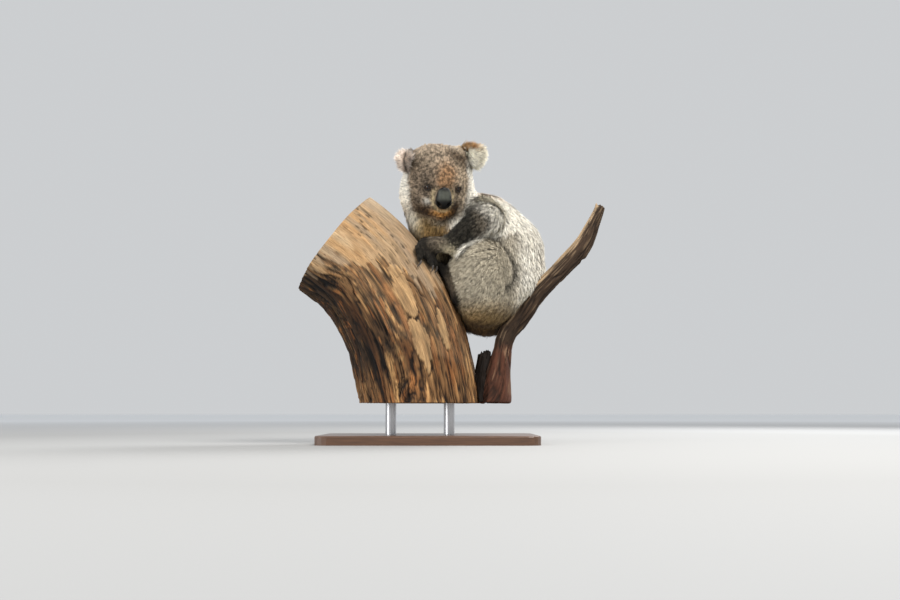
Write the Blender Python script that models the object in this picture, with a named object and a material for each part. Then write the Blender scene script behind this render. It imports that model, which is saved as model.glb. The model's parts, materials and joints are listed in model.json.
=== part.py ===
"""A life-size still model of a koala that sits in the fork of a eucalyptus and grips the trunk.

Metres, +Z up. The koala's body faces -X, turned a little towards -Y, and its head looks along -Y.
Shapes are laid out with their origin under the rump and are moved at the end, so that the model's
origin is the middle of its footprint, on the floor.
"""

import math

import bmesh
import bpy
from mathutils import Euler, Matrix, Vector

# ---- driving dimensions -------------------------------------------------------------------------

HEAD_HEIGHT = 0.346  # the head's middle, above the bottom of the rump
HEAD_PITCH = math.radians(22)  # the face looks down
HEAD_YAW = math.radians(9.5)
HEAD_ROLL = math.radians(1)
BODY_TURN = math.radians(15)  # the chest turns from -X towards -Y

EYE_RADIUS = 0.0095
EYE_SPACING = 0.062
NOSE_WIDTH = 0.038
NOSE_HEIGHT = 0.050
EAR_RADIUS = 0.034

TRUNK_RADIUS = 0.130
TRUNK_BOTTOM = -0.150  # the lower cut, below the rump
BRANCH_RADIUS = 0.0215
PERCH_Y = -0.045  # the plane that holds the trunk's and the branch's axes

BASE_SIZE = (0.480, 0.340, 0.020)
ROD_RADIUS = 0.012
ROD_LENGTH = 0.070
ROD_SPACING = 0.130

GAP = 0.0004  # between pieces that touch
COARSE, FINE = 0.0045, 0.0028  # voxel sizes that melt a form together


# ---- materials ----------------------------------------------------------------------------------


def material(name, colour, roughness, metallic=0.0):
    made = bpy.data.materials.new(name)
    made.use_nodes = True
    shader = made.node_tree.nodes["Principled BSDF"]
    shader.inputs["Base Color"].default_value = (*colour, 1)
    shader.inputs["Roughness"].default_value = roughness
    shader.inputs["Metallic"].default_value = metallic
    return made


# ---- shapes -------------------------------------------------------------------------------------


def add_object(name, mesh, finish):
    thing = bpy.data.objects.new(name, mesh)
    bpy.context.scene.collection.objects.link(thing)
    thing.data.materials.clear()
    thing.data.materials.append(finish)
    return thing


def bake(thing):
    """Replaces the object's mesh by what its modifiers make of it."""
    graph = bpy.context.evaluated_depsgraph_get()
    mesh = bpy.data.meshes.new_from_object(thing.evaluated_get(graph))
    thing.modifiers.clear()
    old = thing.data
    thing.data = mesh
    bpy.data.meshes.remove(old)


def unit_sphere():
    """The corners of an icosphere of radius 1."""
    bm = bmesh.new()
    bmesh.ops.create_icosphere(bm, subdivisions=3, radius=1)
    corners = [v.co.copy() for v in bm.verts]
    bm.free()
    return corners


SPHERE = unit_sphere()


def hull(bm, *stations):
    """Adds the tight skin around ellipsoids given as (centre, radii) or (centre, radii, turn).

    One station gives a ball and two give a tapered limb. turn is a rotation matrix for the axes."""
    corners = []
    for centre, radii, *turn in stations:
        turn = turn[0] if turn else Matrix.Identity(3)
        place = Matrix.Translation(centre) @ turn.to_4x4() @ Matrix.Diagonal((*radii, 1))
        corners += [bm.verts.new(place @ corner) for corner in SPHERE]
    bmesh.ops.convex_hull(bm, input=corners)
    bmesh.ops.delete(bm, geom=[v for v in corners if v.is_valid and not v.link_faces], context="VERTS")


def chain(bm, stations):
    """Adds a limb through several stations, each (centre, radii) or (centre, radii, turn)."""
    for first, second in zip(stations, stations[1:]):
        hull(bm, first, second)


def melt(name, draw, voxel, triangles, finish, smoothing=8):
    """Draws overlapping shapes, melts them into one closed smooth form and thins its faces out."""
    bm = bmesh.new()
    draw(bm)
    bmesh.ops.recalc_face_normals(bm, faces=bm.faces[:])
    mesh = bpy.data.meshes.new(name)
    bm.to_mesh(mesh)
    bm.free()
    form = add_object(name, mesh, finish)
    remesh = form.modifiers.new("melt", "REMESH")
    remesh.mode = "VOXEL"
    remesh.voxel_size = voxel
    smooth = form.modifiers.new("smooth", "SMOOTH")
    smooth.factor = 0.6
    smooth.iterations = smoothing
    bake(form)
    thin = form.modifiers.new("thin", "DECIMATE")
    thin.ratio = min(1.0, triangles / (2 * len(form.data.polygons)))
    thin.use_collapse_triangulate = True
    bake(form)
    form.data.materials.append(finish) if not form.data.materials else None
    return form


def grown(form):
    """A cutter: the form made larger by the gap that pieces keep."""
    cutter = bpy.data.objects.new(form.name + ".cutter", form.data.copy())
    bpy.context.scene.collection.objects.link(cutter)
    cutter.matrix_world = form.matrix_world
    cutter.hide_render = True
    cutter.display_type = "WIRE"
    swell = cutter.modifiers.new("swell", "DISPLACE")
    swell.mid_level = 0
    swell.strength = GAP
    bake(cutter)
    return cutter


def boolean(piece, cutter, operation="DIFFERENCE"):
    cut = piece.modifiers.new("cut", "BOOLEAN")
    cut.operation = operation
    cut.solver = "EXACT"
    cut.object = cutter
    bake(piece)


def largest_body(piece):
    """Drops the crumbs that a cut leaves, keeping the piece's largest connected body."""
    bm = bmesh.new()
    bm.from_mesh(piece.data)
    bodies, seen = [], set()
    for start in bm.verts:
        if start in seen:
            continue
        body, front = {start}, [start]
        while front:
            for edge in front.pop().link_edges:
                for corner in edge.verts:
                    if corner not in body:
                        body.add(corner)
                        front.append(corner)
        seen |= body
        bodies.append(body)
    keep = max(bodies, key=len)
    bmesh.ops.delete(bm, geom=[v for v in bm.verts if v not in keep], context="VERTS")
    bm.to_mesh(piece.data)
    bm.free()


def half(form, point, normal, name):
    """A copy of the form that keeps only the side of a plane its normal points to."""
    bm = bmesh.new()
    bm.from_mesh(form.data)
    bmesh.ops.bisect_plane(
        bm,
        geom=bm.verts[:] + bm.edges[:] + bm.faces[:],
        dist=1e-6,
        plane_co=point + normal * (GAP / 2),
        plane_no=normal,
        clear_inner=True,
    )
    rim = [e for e in bm.edges if e.is_boundary]
    bmesh.ops.triangle_fill(bm, use_beauty=True, edges=rim)
    bmesh.ops.recalc_face_normals(bm, faces=bm.faces[:])
    mesh = bpy.data.meshes.new(name)
    bm.to_mesh(mesh)
    bm.free()
    piece = add_object(name, mesh, form.data.materials[0])
    largest_body(piece)
    return piece


def split(form, point, normal, near_name, far_name):
    """Parts a form with a thin plane cut. The normal points from the near piece to the far one."""
    normal = normal.normalized()
    pieces = half(form, point, -normal, near_name), half(form, point, normal, far_name)
    bpy.data.objects.remove(form)
    return pieces


def boxes_meet(first, second):
    a = [first.matrix_world @ Vector(c) for c in first.bound_box]
    b = [second.matrix_world @ Vector(c) for c in second.bound_box]
    return all(
        min(p[i] for p in a) < max(q[i] for q in b) and min(q[i] for q in b) < max(p[i] for p in a)
        for i in range(3)
    )


def part_in_order(forms):
    """Each form gives way to every form before it in the list, so that none overlap."""
    cutters = [grown(form) for form in forms]
    for i, piece in enumerate(forms):
        for cutter in cutters[:i]:
            if boxes_meet(piece, cutter):
                boolean(piece, cutter)
        largest_body(piece)
    for cutter in cutters:
        bpy.data.objects.remove(cutter)


def tube(name, path, radius_at, sides, finish, squared_ends=False):
    """A closed tube along a path in the plane Y = PERCH_Y. radius_at(share, angle) shapes its wall.

    With squared_ends the first ring is level, as a sawn foot."""
    bm = bmesh.new()
    rings = []
    for i, point in enumerate(path):
        ahead = path[min(i + 1, len(path) - 1)] - path[max(i - 1, 0)]
        along = Vector((0, 0, 1)) if squared_ends and i == 0 else ahead.normalized()
        across = Vector((along.z, 0, -along.x))
        ring = []
        for k in range(sides):
            angle = 2 * math.pi * k / sides
            radius = radius_at(i / (len(path) - 1), angle)
            out = across * math.cos(angle) + Vector((0, 1, 0)) * math.sin(angle)
            ring.append(bm.verts.new(point + out * radius))
        rings.append(ring)
    for lower, upper in zip(rings, rings[1:]):
        for k in range(sides):
            j = (k + 1) % sides
            bm.faces.new((lower[k], lower[j], upper[j], upper[k]))
    bm.faces.new(rings[0][::-1])
    bm.faces.new(rings[-1])
    bmesh.ops.recalc_face_normals(bm, faces=bm.faces[:])
    mesh = bpy.data.meshes.new(name)
    bm.to_mesh(mesh)
    bm.free()
    return add_object(name, mesh, finish)


def smooth_path(knots, count):
    """count points, evenly spaced in parameter, on the Catmull-Rom curve through the knots."""
    padded = [2 * knots[0] - knots[1], *knots, 2 * knots[-1] - knots[-2]]
    points = []
    for i in range(count):
        t = i / (count - 1) * (len(knots) - 1)
        k = min(int(t), len(knots) - 2)
        u = t - k
        a, b, c, d = padded[k : k + 4]
        points.append(
            0.5 * (2 * b + (c - a) * u + (2 * a - 5 * b + 4 * c - d) * u**2 + (3 * b - a - 3 * c + d) * u**3)
        )
    return points


# ---- the head's own frame: x to the koala's left, y backwards, z up ------------------------------

HEAD_CENTRE = Vector((-0.100, -0.058, HEAD_HEIGHT))
HEAD_TURN = (
    Matrix.Rotation(HEAD_YAW, 3, "Z") @ Matrix.Rotation(HEAD_PITCH, 3, "X") @ Matrix.Rotation(HEAD_ROLL, 3, "Y")
)


def on_head(x, y, z):
    return HEAD_CENTRE + HEAD_TURN @ Vector((x, y, z))


def head_ball(centre, radii, turn=None):
    return on_head(*centre), radii, HEAD_TURN @ (turn or Matrix.Identity(3))


def turned(pitch=0, roll=0, yaw=0):
    """A rotation by degrees about x, then y, then z."""
    return Euler((math.radians(pitch), math.radians(roll), math.radians(yaw))).to_matrix()


def eye_centre(side):
    return (side * EYE_SPACING / 2, -0.060, 0.002)


def draw_head(bm):
    cranium = head_ball((0, 0.010, 0.016), (0.071, 0.071, 0.072))
    face = head_ball((0, -0.042, -0.002), (0.044, 0.040, 0.044))
    muzzle = head_ball((0, -0.062, -0.028), (0.030, 0.028, 0.026))
    chin = head_ball((0, -0.054, -0.058), (0.022, 0.024, 0.016))
    crowns = {side: head_ball((side * 0.024, 0.008, 0.042), (0.046, 0.052, 0.046)) for side in (-1, 1)}
    hull(bm, cranium, crowns[-1], crowns[1])
    hull(bm, cranium, face)
    hull(bm, face, muzzle)
    hull(bm, muzzle, chin)
    for side in (-1, 1):
        cheek = head_ball((side * 0.038, -0.008, -0.022), (0.043, 0.050, 0.048))
        ruff = head_ball((side * 0.057, 0.008, -0.022), (0.031, 0.034, 0.056))
        brow = head_ball((side * 0.024, -0.050, 0.020), (0.018, 0.016, 0.014))
        jowl = head_ball((side * 0.018, -0.058, -0.046), (0.020, 0.023, 0.018))
        hull(bm, crowns[side], cheek)
        hull(bm, crowns[side], cheek, ruff)
        hull(bm, cheek, jowl)
        hull(bm, face, brow)
        hull(bm, muzzle, jowl)


# Each ear: its root, the middle and lean of its cup, and the middle of the fringe on its rim.
EARS = {
    1: ((0.046, 0.014, 0.050), (0.060, 0.012, 0.068), (-8, 40, -12), (0.068, 0.006, 0.078)),
    -1: ((-0.050, 0.016, 0.038), (-0.070, 0.014, 0.044), (-8, -50, 50), (-0.076, 0.005, 0.049)),
}


def draw_ear(side):
    """A round furry cup that leans out from the crown, with its long fringe on the outer rim."""
    root, cup, lean, fringe = EARS[side]
    lean = turned(*lean)

    def draw(bm):
        root_ball = head_ball(root, (0.018, 0.014, 0.020))
        cup_ball = head_ball(cup, (EAR_RADIUS, 0.012, EAR_RADIUS), lean)
        fringe_ball = head_ball(fringe, (EAR_RADIUS * 0.85, 0.008, EAR_RADIUS), lean)
        hull(bm, root_ball, cup_ball)
        hull(bm, cup_ball, fringe_ball)

    return draw


def draw_eye(side):
    return lambda bm: hull(bm, (on_head(*eye_centre(side)), (EYE_RADIUS,) * 3))


def draw_socket(side):
    """The opening between the lids, which the eye looks out of."""
    x, y, z = eye_centre(side)
    outwards = turned(0, -6 * side, 20 * side)
    return lambda bm: hull(bm, head_ball((x + side * 0.004, y - 0.012, z), (0.0085, 0.014, 0.0050), outwards))


def draw_nose(bm):
    tilt = turned(10)
    upper = head_ball((0, -0.087, -0.007), (NOSE_WIDTH * 0.42, 0.009, NOSE_HEIGHT * 0.32), tilt)
    lower = head_ball((0, -0.091, -0.025), (NOSE_WIDTH * 0.50, 0.010, NOSE_HEIGHT * 0.34), tilt)
    hull(bm, upper, lower)


# ---- the body: stations laid out along -X and turned about the rump --------------------------------

BODY_PIVOT = Vector((0.020, 0, 0))
TURN = Matrix.Rotation(BODY_TURN, 3, "Z")


def on_body(forward, left, up):
    """A place in the body's own frame: forward is the way the chest faces, left the koala's left."""
    return BODY_PIVOT + TURN @ Vector((-forward, -left, up))


def body_ball(forward, left, up, deep, wide, high):
    return on_body(forward, left, up), (deep, wide, high), TURN


def draw_body(bm):
    rump = body_ball(0.014, 0, 0.086, 0.086, 0.100, 0.086)
    hips = body_ball(-0.032, 0, 0.136, 0.098, 0.108, 0.096)
    back = body_ball(-0.032, 0, 0.196, 0.094, 0.104, 0.096)
    shoulders = body_ball(0.018, 0, 0.242, 0.094, 0.088, 0.092)
    withers = body_ball(0.060, -0.004, 0.262, 0.080, 0.070, 0.078)
    chest = body_ball(0.126, -0.004, 0.262, 0.072, 0.064, 0.066)
    throat = Vector((-0.120, -0.032, 0.298)), (0.064, 0.054, 0.054)
    nape = Vector((-0.100, -0.034, 0.332)), (0.068, 0.056, 0.044)
    belly = body_ball(0.074, -0.004, 0.160, 0.062, 0.022, 0.070)
    chain(bm, [rump, hips, back, shoulders, withers, chest, throat, nape])
    hull(bm, body_ball(0.020, 0, 0.160, 0.062, 0.060, 0.080), belly)
    hull(bm, belly, body_ball(0.110, -0.004, 0.232, 0.050, 0.030, 0.040))


NECK_CUT = Vector((-0.095, -0.034, 0.300)), Vector((-0.55, -0.15, 0.82))

SHOULDER = {1: Vector((-0.002, -0.048, 0.272)), -1: Vector((-0.060, 0.048, 0.276))}
ELBOW = {1: Vector((0.008, -0.112, 0.258)), -1: Vector((-0.046, 0.102, 0.234))}
WRIST = {1: Vector((-0.070, -0.102, 0.200)), -1: Vector((-0.104, 0.056, 0.222))}
HIP = {1: Vector((0.004, -0.062, 0.086)), -1: Vector((-0.010, 0.066, 0.086))}
KNEE = {1: Vector((-0.008, -0.076, 0.158)), -1: Vector((-0.036, 0.074, 0.162))}
ANKLE = {1: Vector((-0.048, -0.082, 0.086)), -1: Vector((-0.078, 0.050, 0.086))}


ANKLE_CUT = {side: (ANKLE[side], Vector((-1, 0, -0.35))) for side in (1, -1)}


def ball_at(place, radius):
    return place, (radius,) * 3


def draw_arm(side):
    def draw(bm):
        hull(bm, ball_at(SHOULDER[side], 0.047), ball_at(ELBOW[side], 0.037))
        hull(bm, ball_at(ELBOW[side], 0.037), ball_at(WRIST[side], 0.025))
        draw_hand(side)(bm)

    return draw


def draw_thigh(side):
    middle = HIP[side].lerp(KNEE[side], 0.5)
    return lambda bm: chain(bm, [ball_at(HIP[side], 0.068), ball_at(middle, 0.070), ball_at(KNEE[side], 0.068)])


def draw_shin(side):
    def draw(bm):
        knee = KNEE[side].lerp(ANKLE[side], 0.15)
        knee.x -= 0.028
        hull(bm, ball_at(knee, 0.038), ball_at(ANKLE[side], 0.027))
        draw_foot(side)(bm)

    return draw


# ---- the perch ----------------------------------------------------------------------------------


def perch_point(x, z):
    return Vector((x, PERCH_Y, z))


TRUNK_AXIS = smooth_path(
    [
        perch_point(-0.141, TRUNK_BOTTOM),
        perch_point(-0.169, -0.022),
        perch_point(-0.210, 0.071),
        perch_point(-0.266, 0.149),
        perch_point(-0.334, 0.205),
    ],
    8,
)
STEM_AXIS = smooth_path([perch_point(0.026, TRUNK_BOTTOM), perch_point(0.032, -0.090), perch_point(0.042, -0.034)], 5)
BRANCH_AXIS = smooth_path(
    [
        perch_point(0.042, -0.040),
        perch_point(0.052, 0.004),
        perch_point(0.078, 0.032),
        perch_point(0.117, 0.092),
        perch_point(0.149, 0.124),
        perch_point(0.211, 0.186),
        perch_point(0.238, 0.228),
        perch_point(0.268, 0.294),
    ],
    12,
)


def trunk_wall(share, angle):
    """The trunk's radius: long shallow flutes, and a swelling near the fork."""
    flutes = 0.030 * math.sin(3 * angle + 2.2 * share) + 0.018 * math.sin(7 * angle - 3 * share)
    return TRUNK_RADIUS * (1 + flutes + 0.03 * (1 - share) ** 2)


def stem_wall(share, angle):
    """The side stem's radius: wide and hollow-backed at its foot, where it leaves the trunk."""
    return 0.038 * (1 - 0.42 * share) * (1 + 0.06 * math.sin(5 * angle + share))


SNAG_AXIS = smooth_path([perch_point(-0.008, TRUNK_BOTTOM), perch_point(0.000, -0.090), perch_point(0.005, -0.040)], 4)


def snag_wall(share, angle):
    """A dead, jagged stub between the trunk and the side stem."""
    return 0.026 * (1 - 0.45 * share) * (1 + 0.16 * math.sin(4 * angle + 3 * share))


def branch_wall(share, angle):
    """The branch's radius: two knots on the way up, and a thin broken end."""
    knots = 0.10 * math.exp(-(((share - 0.38) / 0.05) ** 2)) + 0.08 * math.exp(-(((share - 0.7) / 0.04) ** 2))
    end = 1 - 0.45 * max(0, (share - 0.75) / 0.25) ** 1.5
    return BRANCH_RADIUS * end * (1.0 + knots + 0.05 * math.sin(2 * angle + 5 * share))


def trunk_surface(z, y):
    """The x of the trunk's right side at a height and depth, read from its axis."""
    best = None
    for low, high in zip(TRUNK_AXIS, TRUNK_AXIS[1:]):
        along = (high - low).normalized()
        side = Vector((along.z, 0, -along.x))
        off = y - PERCH_Y
        reach = math.sqrt(max(TRUNK_RADIUS**2 - off**2, 0))
        for k in range(11):
            place = low.lerp(high, k / 10) + side * reach
            if best is None or abs(place.z - z) < abs(best.z - z):
                best = place
    return best.x


def on_trunk(z, y, off=0.0):
    return Vector((trunk_surface(z, y) + off, y, z))


# ---- hands, feet and claws ----------------------------------------------------------------------

# Each digit runs over the bark from its knuckle to its tip, both given as (depth, height).
HAND_DIGITS = {
    1: [((-0.088, 0.200), (-0.062, 0.204)), ((-0.088, 0.188), (-0.068, 0.178)),
        ((-0.122, 0.190), (-0.132, 0.162)), ((-0.111, 0.184), (-0.115, 0.154)), ((-0.099, 0.182), (-0.097, 0.154))],
    -1: [((0.020, 0.222), (-0.004, 0.226)), ((0.020, 0.208), (0.000, 0.198)),
         ((0.054, 0.212), (0.066, 0.186)), ((0.043, 0.205), (0.049, 0.176)), ((0.030, 0.202), (0.030, 0.174))],
}
FOOT_DIGITS = {
    1: [((-0.058, 0.112), (-0.034, 0.124)), ((-0.056, 0.138), (-0.047, 0.162)),
        ((-0.069, 0.140), (-0.066, 0.167)), ((-0.082, 0.137), (-0.086, 0.161))],
    -1: [((0.016, 0.112), (-0.008, 0.122)), ((0.018, 0.138), (0.009, 0.162)),
         ((0.032, 0.140), (0.031, 0.167)), ((0.046, 0.136), (0.054, 0.161))],
}
DIGIT_RADIUS = 0.0092
CLAW_LENGTH = 0.022
CLAW_RADIUS = 0.0036


def digit_points(ends):
    (y0, z0), (y1, z1) = ends
    knuckle = on_trunk(z0, y0, 0.020)
    middle = on_trunk((z0 + z1) / 2, (y0 + y1) / 2, 0.021)
    return knuckle, middle, on_trunk(z1, y1, 0.013)


def draw_paw(wrist, wrist_radius, palm, palm_radius, digits):
    def draw(bm):
        hull(bm, (wrist, (wrist_radius,) * 3), (palm, (palm_radius,) * 3))
        for ends in digits:
            knuckle, middle, tip = digit_points(ends)
            hull(bm, (palm, (palm_radius * 0.7,) * 3), (knuckle, (DIGIT_RADIUS * 1.15,) * 3))
            chain(
                bm,
                [
                    (knuckle, (DIGIT_RADIUS * 1.15,) * 3),
                    (middle, (DIGIT_RADIUS * 1.05,) * 3),
                    (tip, (DIGIT_RADIUS * 0.85,) * 3),
                ],
            )

    return draw


def draw_hand(side):
    palm = on_trunk(0.199, -0.104, 0.028) if side == 1 else on_trunk(0.220, 0.036, 0.026)
    return draw_paw(WRIST[side], 0.021, palm, 0.019, HAND_DIGITS[side])


def draw_foot(side):
    sole = on_trunk(0.118, -0.070, 0.023) if side == 1 else on_trunk(0.118, 0.032, 0.023)
    heel = on_trunk(0.078, -0.076, 0.023) if side == 1 else on_trunk(0.080, 0.040, 0.023)

    def draw(bm):
        hull(bm, (ANKLE[side], (0.026,) * 3), (heel, (0.016,) * 3))
        hull(bm, (heel, (0.016,) * 3), (sole, (0.016,) * 3))
        draw_paw(ANKLE[side], 0.025, sole, 0.018, FOOT_DIGITS[side])(bm)

    return draw


def claw(name, ends, finish):
    """A curved, pointed claw that leaves the tip of a digit and bites down towards the bark."""
    knuckle, middle, tip = digit_points(ends)
    ahead = (tip - middle).normalized()
    bark = Vector((-1, 0, 0))
    side = ahead.cross(bark).normalized()
    sides, steps = 5, 4
    bm = bmesh.new()
    rings = []
    for i in range(steps):
        share = i / steps
        bend = math.radians(62) * share
        centre = tip + ahead * (CLAW_LENGTH * math.sin(bend * 0.9 + 0.12) * 0.95) - bark * 0.004
        centre += bark * CLAW_LENGTH * 0.55 * (1 - math.cos(bend * 1.25))
        heading = (ahead * math.cos(bend) + bark * math.sin(bend)).normalized()
        up = side.cross(heading).normalized()
        radius = CLAW_RADIUS * (1 - share) ** 0.75 + 0.0004
        ring = [
            bm.verts.new(
                centre
                + side * math.cos(2 * math.pi * k / sides) * radius * 0.75
                + up * math.sin(2 * math.pi * k / sides) * radius
            )
            for k in range(sides)
        ]
        rings.append(ring)
    point = bm.verts.new(tip + ahead * CLAW_LENGTH * 0.93 - bark * 0.004 + bark * CLAW_LENGTH * 0.42)
    for lower, upper in zip(rings, rings[1:]):
        for k in range(sides):
            j = (k + 1) % sides
            bm.faces.new((lower[k], lower[j], upper[j], upper[k]))
    for k in range(sides):
        bm.faces.new((rings[-1][k], rings[-1][(k + 1) % sides], point))
    bm.faces.new(rings[0][::-1])
    bmesh.ops.recalc_face_normals(bm, faces=bm.faces[:])
    mesh = bpy.data.meshes.new(name)
    bm.to_mesh(mesh)
    bm.free()
    return add_object(name, mesh, finish)


# ---- the display stand --------------------------------------------------------------------------


def stand_base(finish, middle_x, middle_y, top):
    bm = bmesh.new()
    bmesh.ops.create_cube(bm, size=1)
    bmesh.ops.scale(bm, vec=BASE_SIZE, verts=bm.verts[:])
    upright = [e for e in bm.edges if abs(e.verts[0].co.z - e.verts[1].co.z) > BASE_SIZE[2] / 2]
    bmesh.ops.bevel(bm, geom=upright, offset=0.028, segments=4, profile=0.5, affect="EDGES")
    rim = [e for e in bm.edges if e.verts[0].co.z > 0 and e.verts[1].co.z > 0]
    bmesh.ops.bevel(bm, geom=rim, offset=0.003, segments=2, profile=0.5, affect="EDGES")
    bmesh.ops.translate(bm, vec=(middle_x, middle_y, top - BASE_SIZE[2] / 2), verts=bm.verts[:])
    mesh = bpy.data.meshes.new("stand_base")
    bm.to_mesh(mesh)
    bm.free()
    return add_object("stand_base", mesh, finish)


def stand_rod(name, x, y, low, high, finish):
    bm = bmesh.new()
    bmesh.ops.create_cone(
        bm, cap_ends=True, segments=20, radius1=ROD_RADIUS, radius2=ROD_RADIUS, depth=high - low
    )
    bmesh.ops.translate(bm, vec=(x, y, (low + high) / 2), verts=bm.verts[:])
    mesh = bpy.data.meshes.new(name)
    bm.to_mesh(mesh)
    bm.free()
    return add_object(name, mesh, finish)


# ---- building it --------------------------------------------------------------------------------


def side_name(side):
    return "left" if side == 1 else "right"


def build():
    for thing in list(bpy.data.objects):
        bpy.data.objects.remove(thing)
    fur = material("grey fur", (0.36, 0.32, 0.28), 0.9)
    skin = material("nose skin", (0.035, 0.036, 0.038), 0.42)
    eye = material("eye", (0.05, 0.026, 0.012), 0.08)
    horn = material("claw horn", (0.06, 0.05, 0.045), 0.35)
    bark = material("eucalyptus bark", (0.42, 0.27, 0.16), 0.85)
    wood = material("dark wood", (0.11, 0.07, 0.045), 0.45)
    steel = material("steel", (0.55, 0.55, 0.56), 0.3, 1.0)

    trunk = tube("perch_trunk", TRUNK_AXIS, trunk_wall, 24, bark, squared_ends=True)
    stem = tube("perch_stem", STEM_AXIS, stem_wall, 12, bark, squared_ends=True)
    branch = tube("perch_branch", BRANCH_AXIS, branch_wall, 9, bark)
    snag = tube("perch_snag", SNAG_AXIS, snag_wall, 9, bark, squared_ends=True)

    body = melt("body", draw_body, COARSE, 500, fur)
    torso, neck = split(body, *NECK_CUT, "torso", "neck")
    arms, legs, eyes, ears, claws = [], [], [], [], []
    for side in (1, -1):
        arm = melt("arm", draw_arm(side), FINE, 370, fur, 3)
        bend = (ELBOW[side] - SHOULDER[side]).normalized() + (WRIST[side] - ELBOW[side]).normalized()
        upper_arm, lower_arm = split(arm, ELBOW[side], bend, "upper_arm_" + side_name(side), "lower_arm")
        reach = WRIST[side] - ELBOW[side]
        forearm, hand = split(lower_arm, WRIST[side], reach, "forearm_" + side_name(side), "hand_" + side_name(side))
        arms += [upper_arm, forearm, hand]
        shin = melt("shin", draw_shin(side), FINE, 260, fur, 4)
        legs += split(shin, *ANKLE_CUT[side], "shank_" + side_name(side), "foot_" + side_name(side))
        legs.append(melt("thigh_" + side_name(side), draw_thigh(side), COARSE, 160, fur))
        eyes.append(melt("eye_" + side_name(side), draw_eye(side), 0.0012, 90, eye, 2))
        ears.append(melt("ear_" + side_name(side), draw_ear(side), FINE, 150, fur, 4))
    head = melt("head", draw_head, COARSE, 700, fur, 5)
    for side in (1, -1):
        socket = melt("socket", draw_socket(side), 0.0012, 50, fur, 2)
        boolean(head, socket)
        bpy.data.objects.remove(socket)
    nose = melt("nose", draw_nose, 0.0018, 150, skin, 3)
    for side in (1, -1):
        for kind, digits in (("hand", HAND_DIGITS), ("foot", FOOT_DIGITS)):
            first = 1 if kind == "hand" else 2
            clawed = digits[side] if kind == "hand" else digits[side][1:]
            for n, ends in enumerate(clawed, first):
                claws.append(claw(f"claw_{kind}_{side_name(side)}_{n}", ends, horn))
    part_in_order([trunk, stem, branch, snag, *claws, torso, neck, *legs, *arms, *eyes, nose, head, *ears])

    base_top = TRUNK_BOTTOM - ROD_LENGTH
    foot_x = TRUNK_AXIS[0].x
    stand_base(wood, foot_x + 0.020, PERCH_Y + 0.010, base_top)
    for n, offset in enumerate((-ROD_SPACING / 2, ROD_SPACING / 2), 1):
        stand_rod(f"stand_rod_{n}", foot_x + offset, PERCH_Y, base_top + GAP, TRUNK_BOTTOM - GAP, steel)


def centre_on_floor():
    """Moves every object so that the origin is the middle of the footprint, on the floor."""
    bpy.context.view_layer.update()
    shown = [o for o in bpy.context.scene.objects if o.type == "MESH"]
    corners = [o.matrix_world @ v.co for o in shown for v in o.data.vertices]
    low = Vector([min(c[i] for c in corners) for i in range(3)])
    high = Vector([max(c[i] for c in corners) for i in range(3)])
    shift = Vector(((low.x + high.x) / 2, (low.y + high.y) / 2, low.z))
    for thing in shown:
        thing.location -= shift


build()
centre_on_floor()
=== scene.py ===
# %% [markdown]
# # A koala in the fork of a eucalyptus
#
# This lesson dresses a plain solid model of a koala as a museum would: one smooth skin under a
# coat of thousands of small locks, glass-like eyes, a leathery nose, horn claws, and a cut length
# of tree with its bark. The solids are loaded as a fixed frame, and every piece here starts from one
# of them, so that it sits where its solid does.

# %% Load the frame
import json
import math

import bmesh
import bpy
import numpy as np
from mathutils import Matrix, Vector
from mathutils.bvhtree import BVHTree

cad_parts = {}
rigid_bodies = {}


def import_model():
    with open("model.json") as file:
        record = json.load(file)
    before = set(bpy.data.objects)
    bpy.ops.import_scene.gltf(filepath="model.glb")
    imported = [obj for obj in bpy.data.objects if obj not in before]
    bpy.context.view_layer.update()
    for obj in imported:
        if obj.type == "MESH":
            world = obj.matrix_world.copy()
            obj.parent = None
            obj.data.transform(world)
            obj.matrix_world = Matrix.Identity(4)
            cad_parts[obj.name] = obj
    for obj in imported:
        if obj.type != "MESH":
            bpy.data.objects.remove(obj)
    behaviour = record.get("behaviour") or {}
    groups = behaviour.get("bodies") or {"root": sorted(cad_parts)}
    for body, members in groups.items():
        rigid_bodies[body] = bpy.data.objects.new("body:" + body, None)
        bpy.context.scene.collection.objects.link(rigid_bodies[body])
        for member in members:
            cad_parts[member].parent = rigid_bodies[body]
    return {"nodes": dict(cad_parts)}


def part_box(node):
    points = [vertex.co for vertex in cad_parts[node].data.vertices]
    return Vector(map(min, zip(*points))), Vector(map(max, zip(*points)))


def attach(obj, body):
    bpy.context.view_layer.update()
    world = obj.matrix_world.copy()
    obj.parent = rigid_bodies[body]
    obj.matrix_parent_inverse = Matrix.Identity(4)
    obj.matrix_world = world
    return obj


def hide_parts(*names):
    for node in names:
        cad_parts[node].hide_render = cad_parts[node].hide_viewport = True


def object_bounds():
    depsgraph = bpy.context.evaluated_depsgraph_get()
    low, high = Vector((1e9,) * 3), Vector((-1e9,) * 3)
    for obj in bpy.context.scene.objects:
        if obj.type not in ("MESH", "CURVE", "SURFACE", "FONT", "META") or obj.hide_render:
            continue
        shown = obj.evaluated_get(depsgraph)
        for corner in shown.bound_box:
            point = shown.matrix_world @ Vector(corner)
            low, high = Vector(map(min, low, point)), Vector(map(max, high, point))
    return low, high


for thing in list(bpy.data.objects):
    bpy.data.objects.remove(thing)
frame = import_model()
NODES = frame["nodes"]
CAD_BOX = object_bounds()
print(len(NODES), "solids, box", [round(x, 3) for corner in CAD_BOX for x in corner])

# %% [markdown]
# ## Small tools
#
# Hair, markings and bark all vary from place to place. They could be painted by hand, but a rule that
# says how each value depends on the place is easier to change. NumPy works such a rule out for all
# points at once, and a few short helpers keep the later cells readable: unit vectors, a smooth ramp,
# a soft spot round a place, and a smooth random field whose grain size is given in metres.


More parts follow.
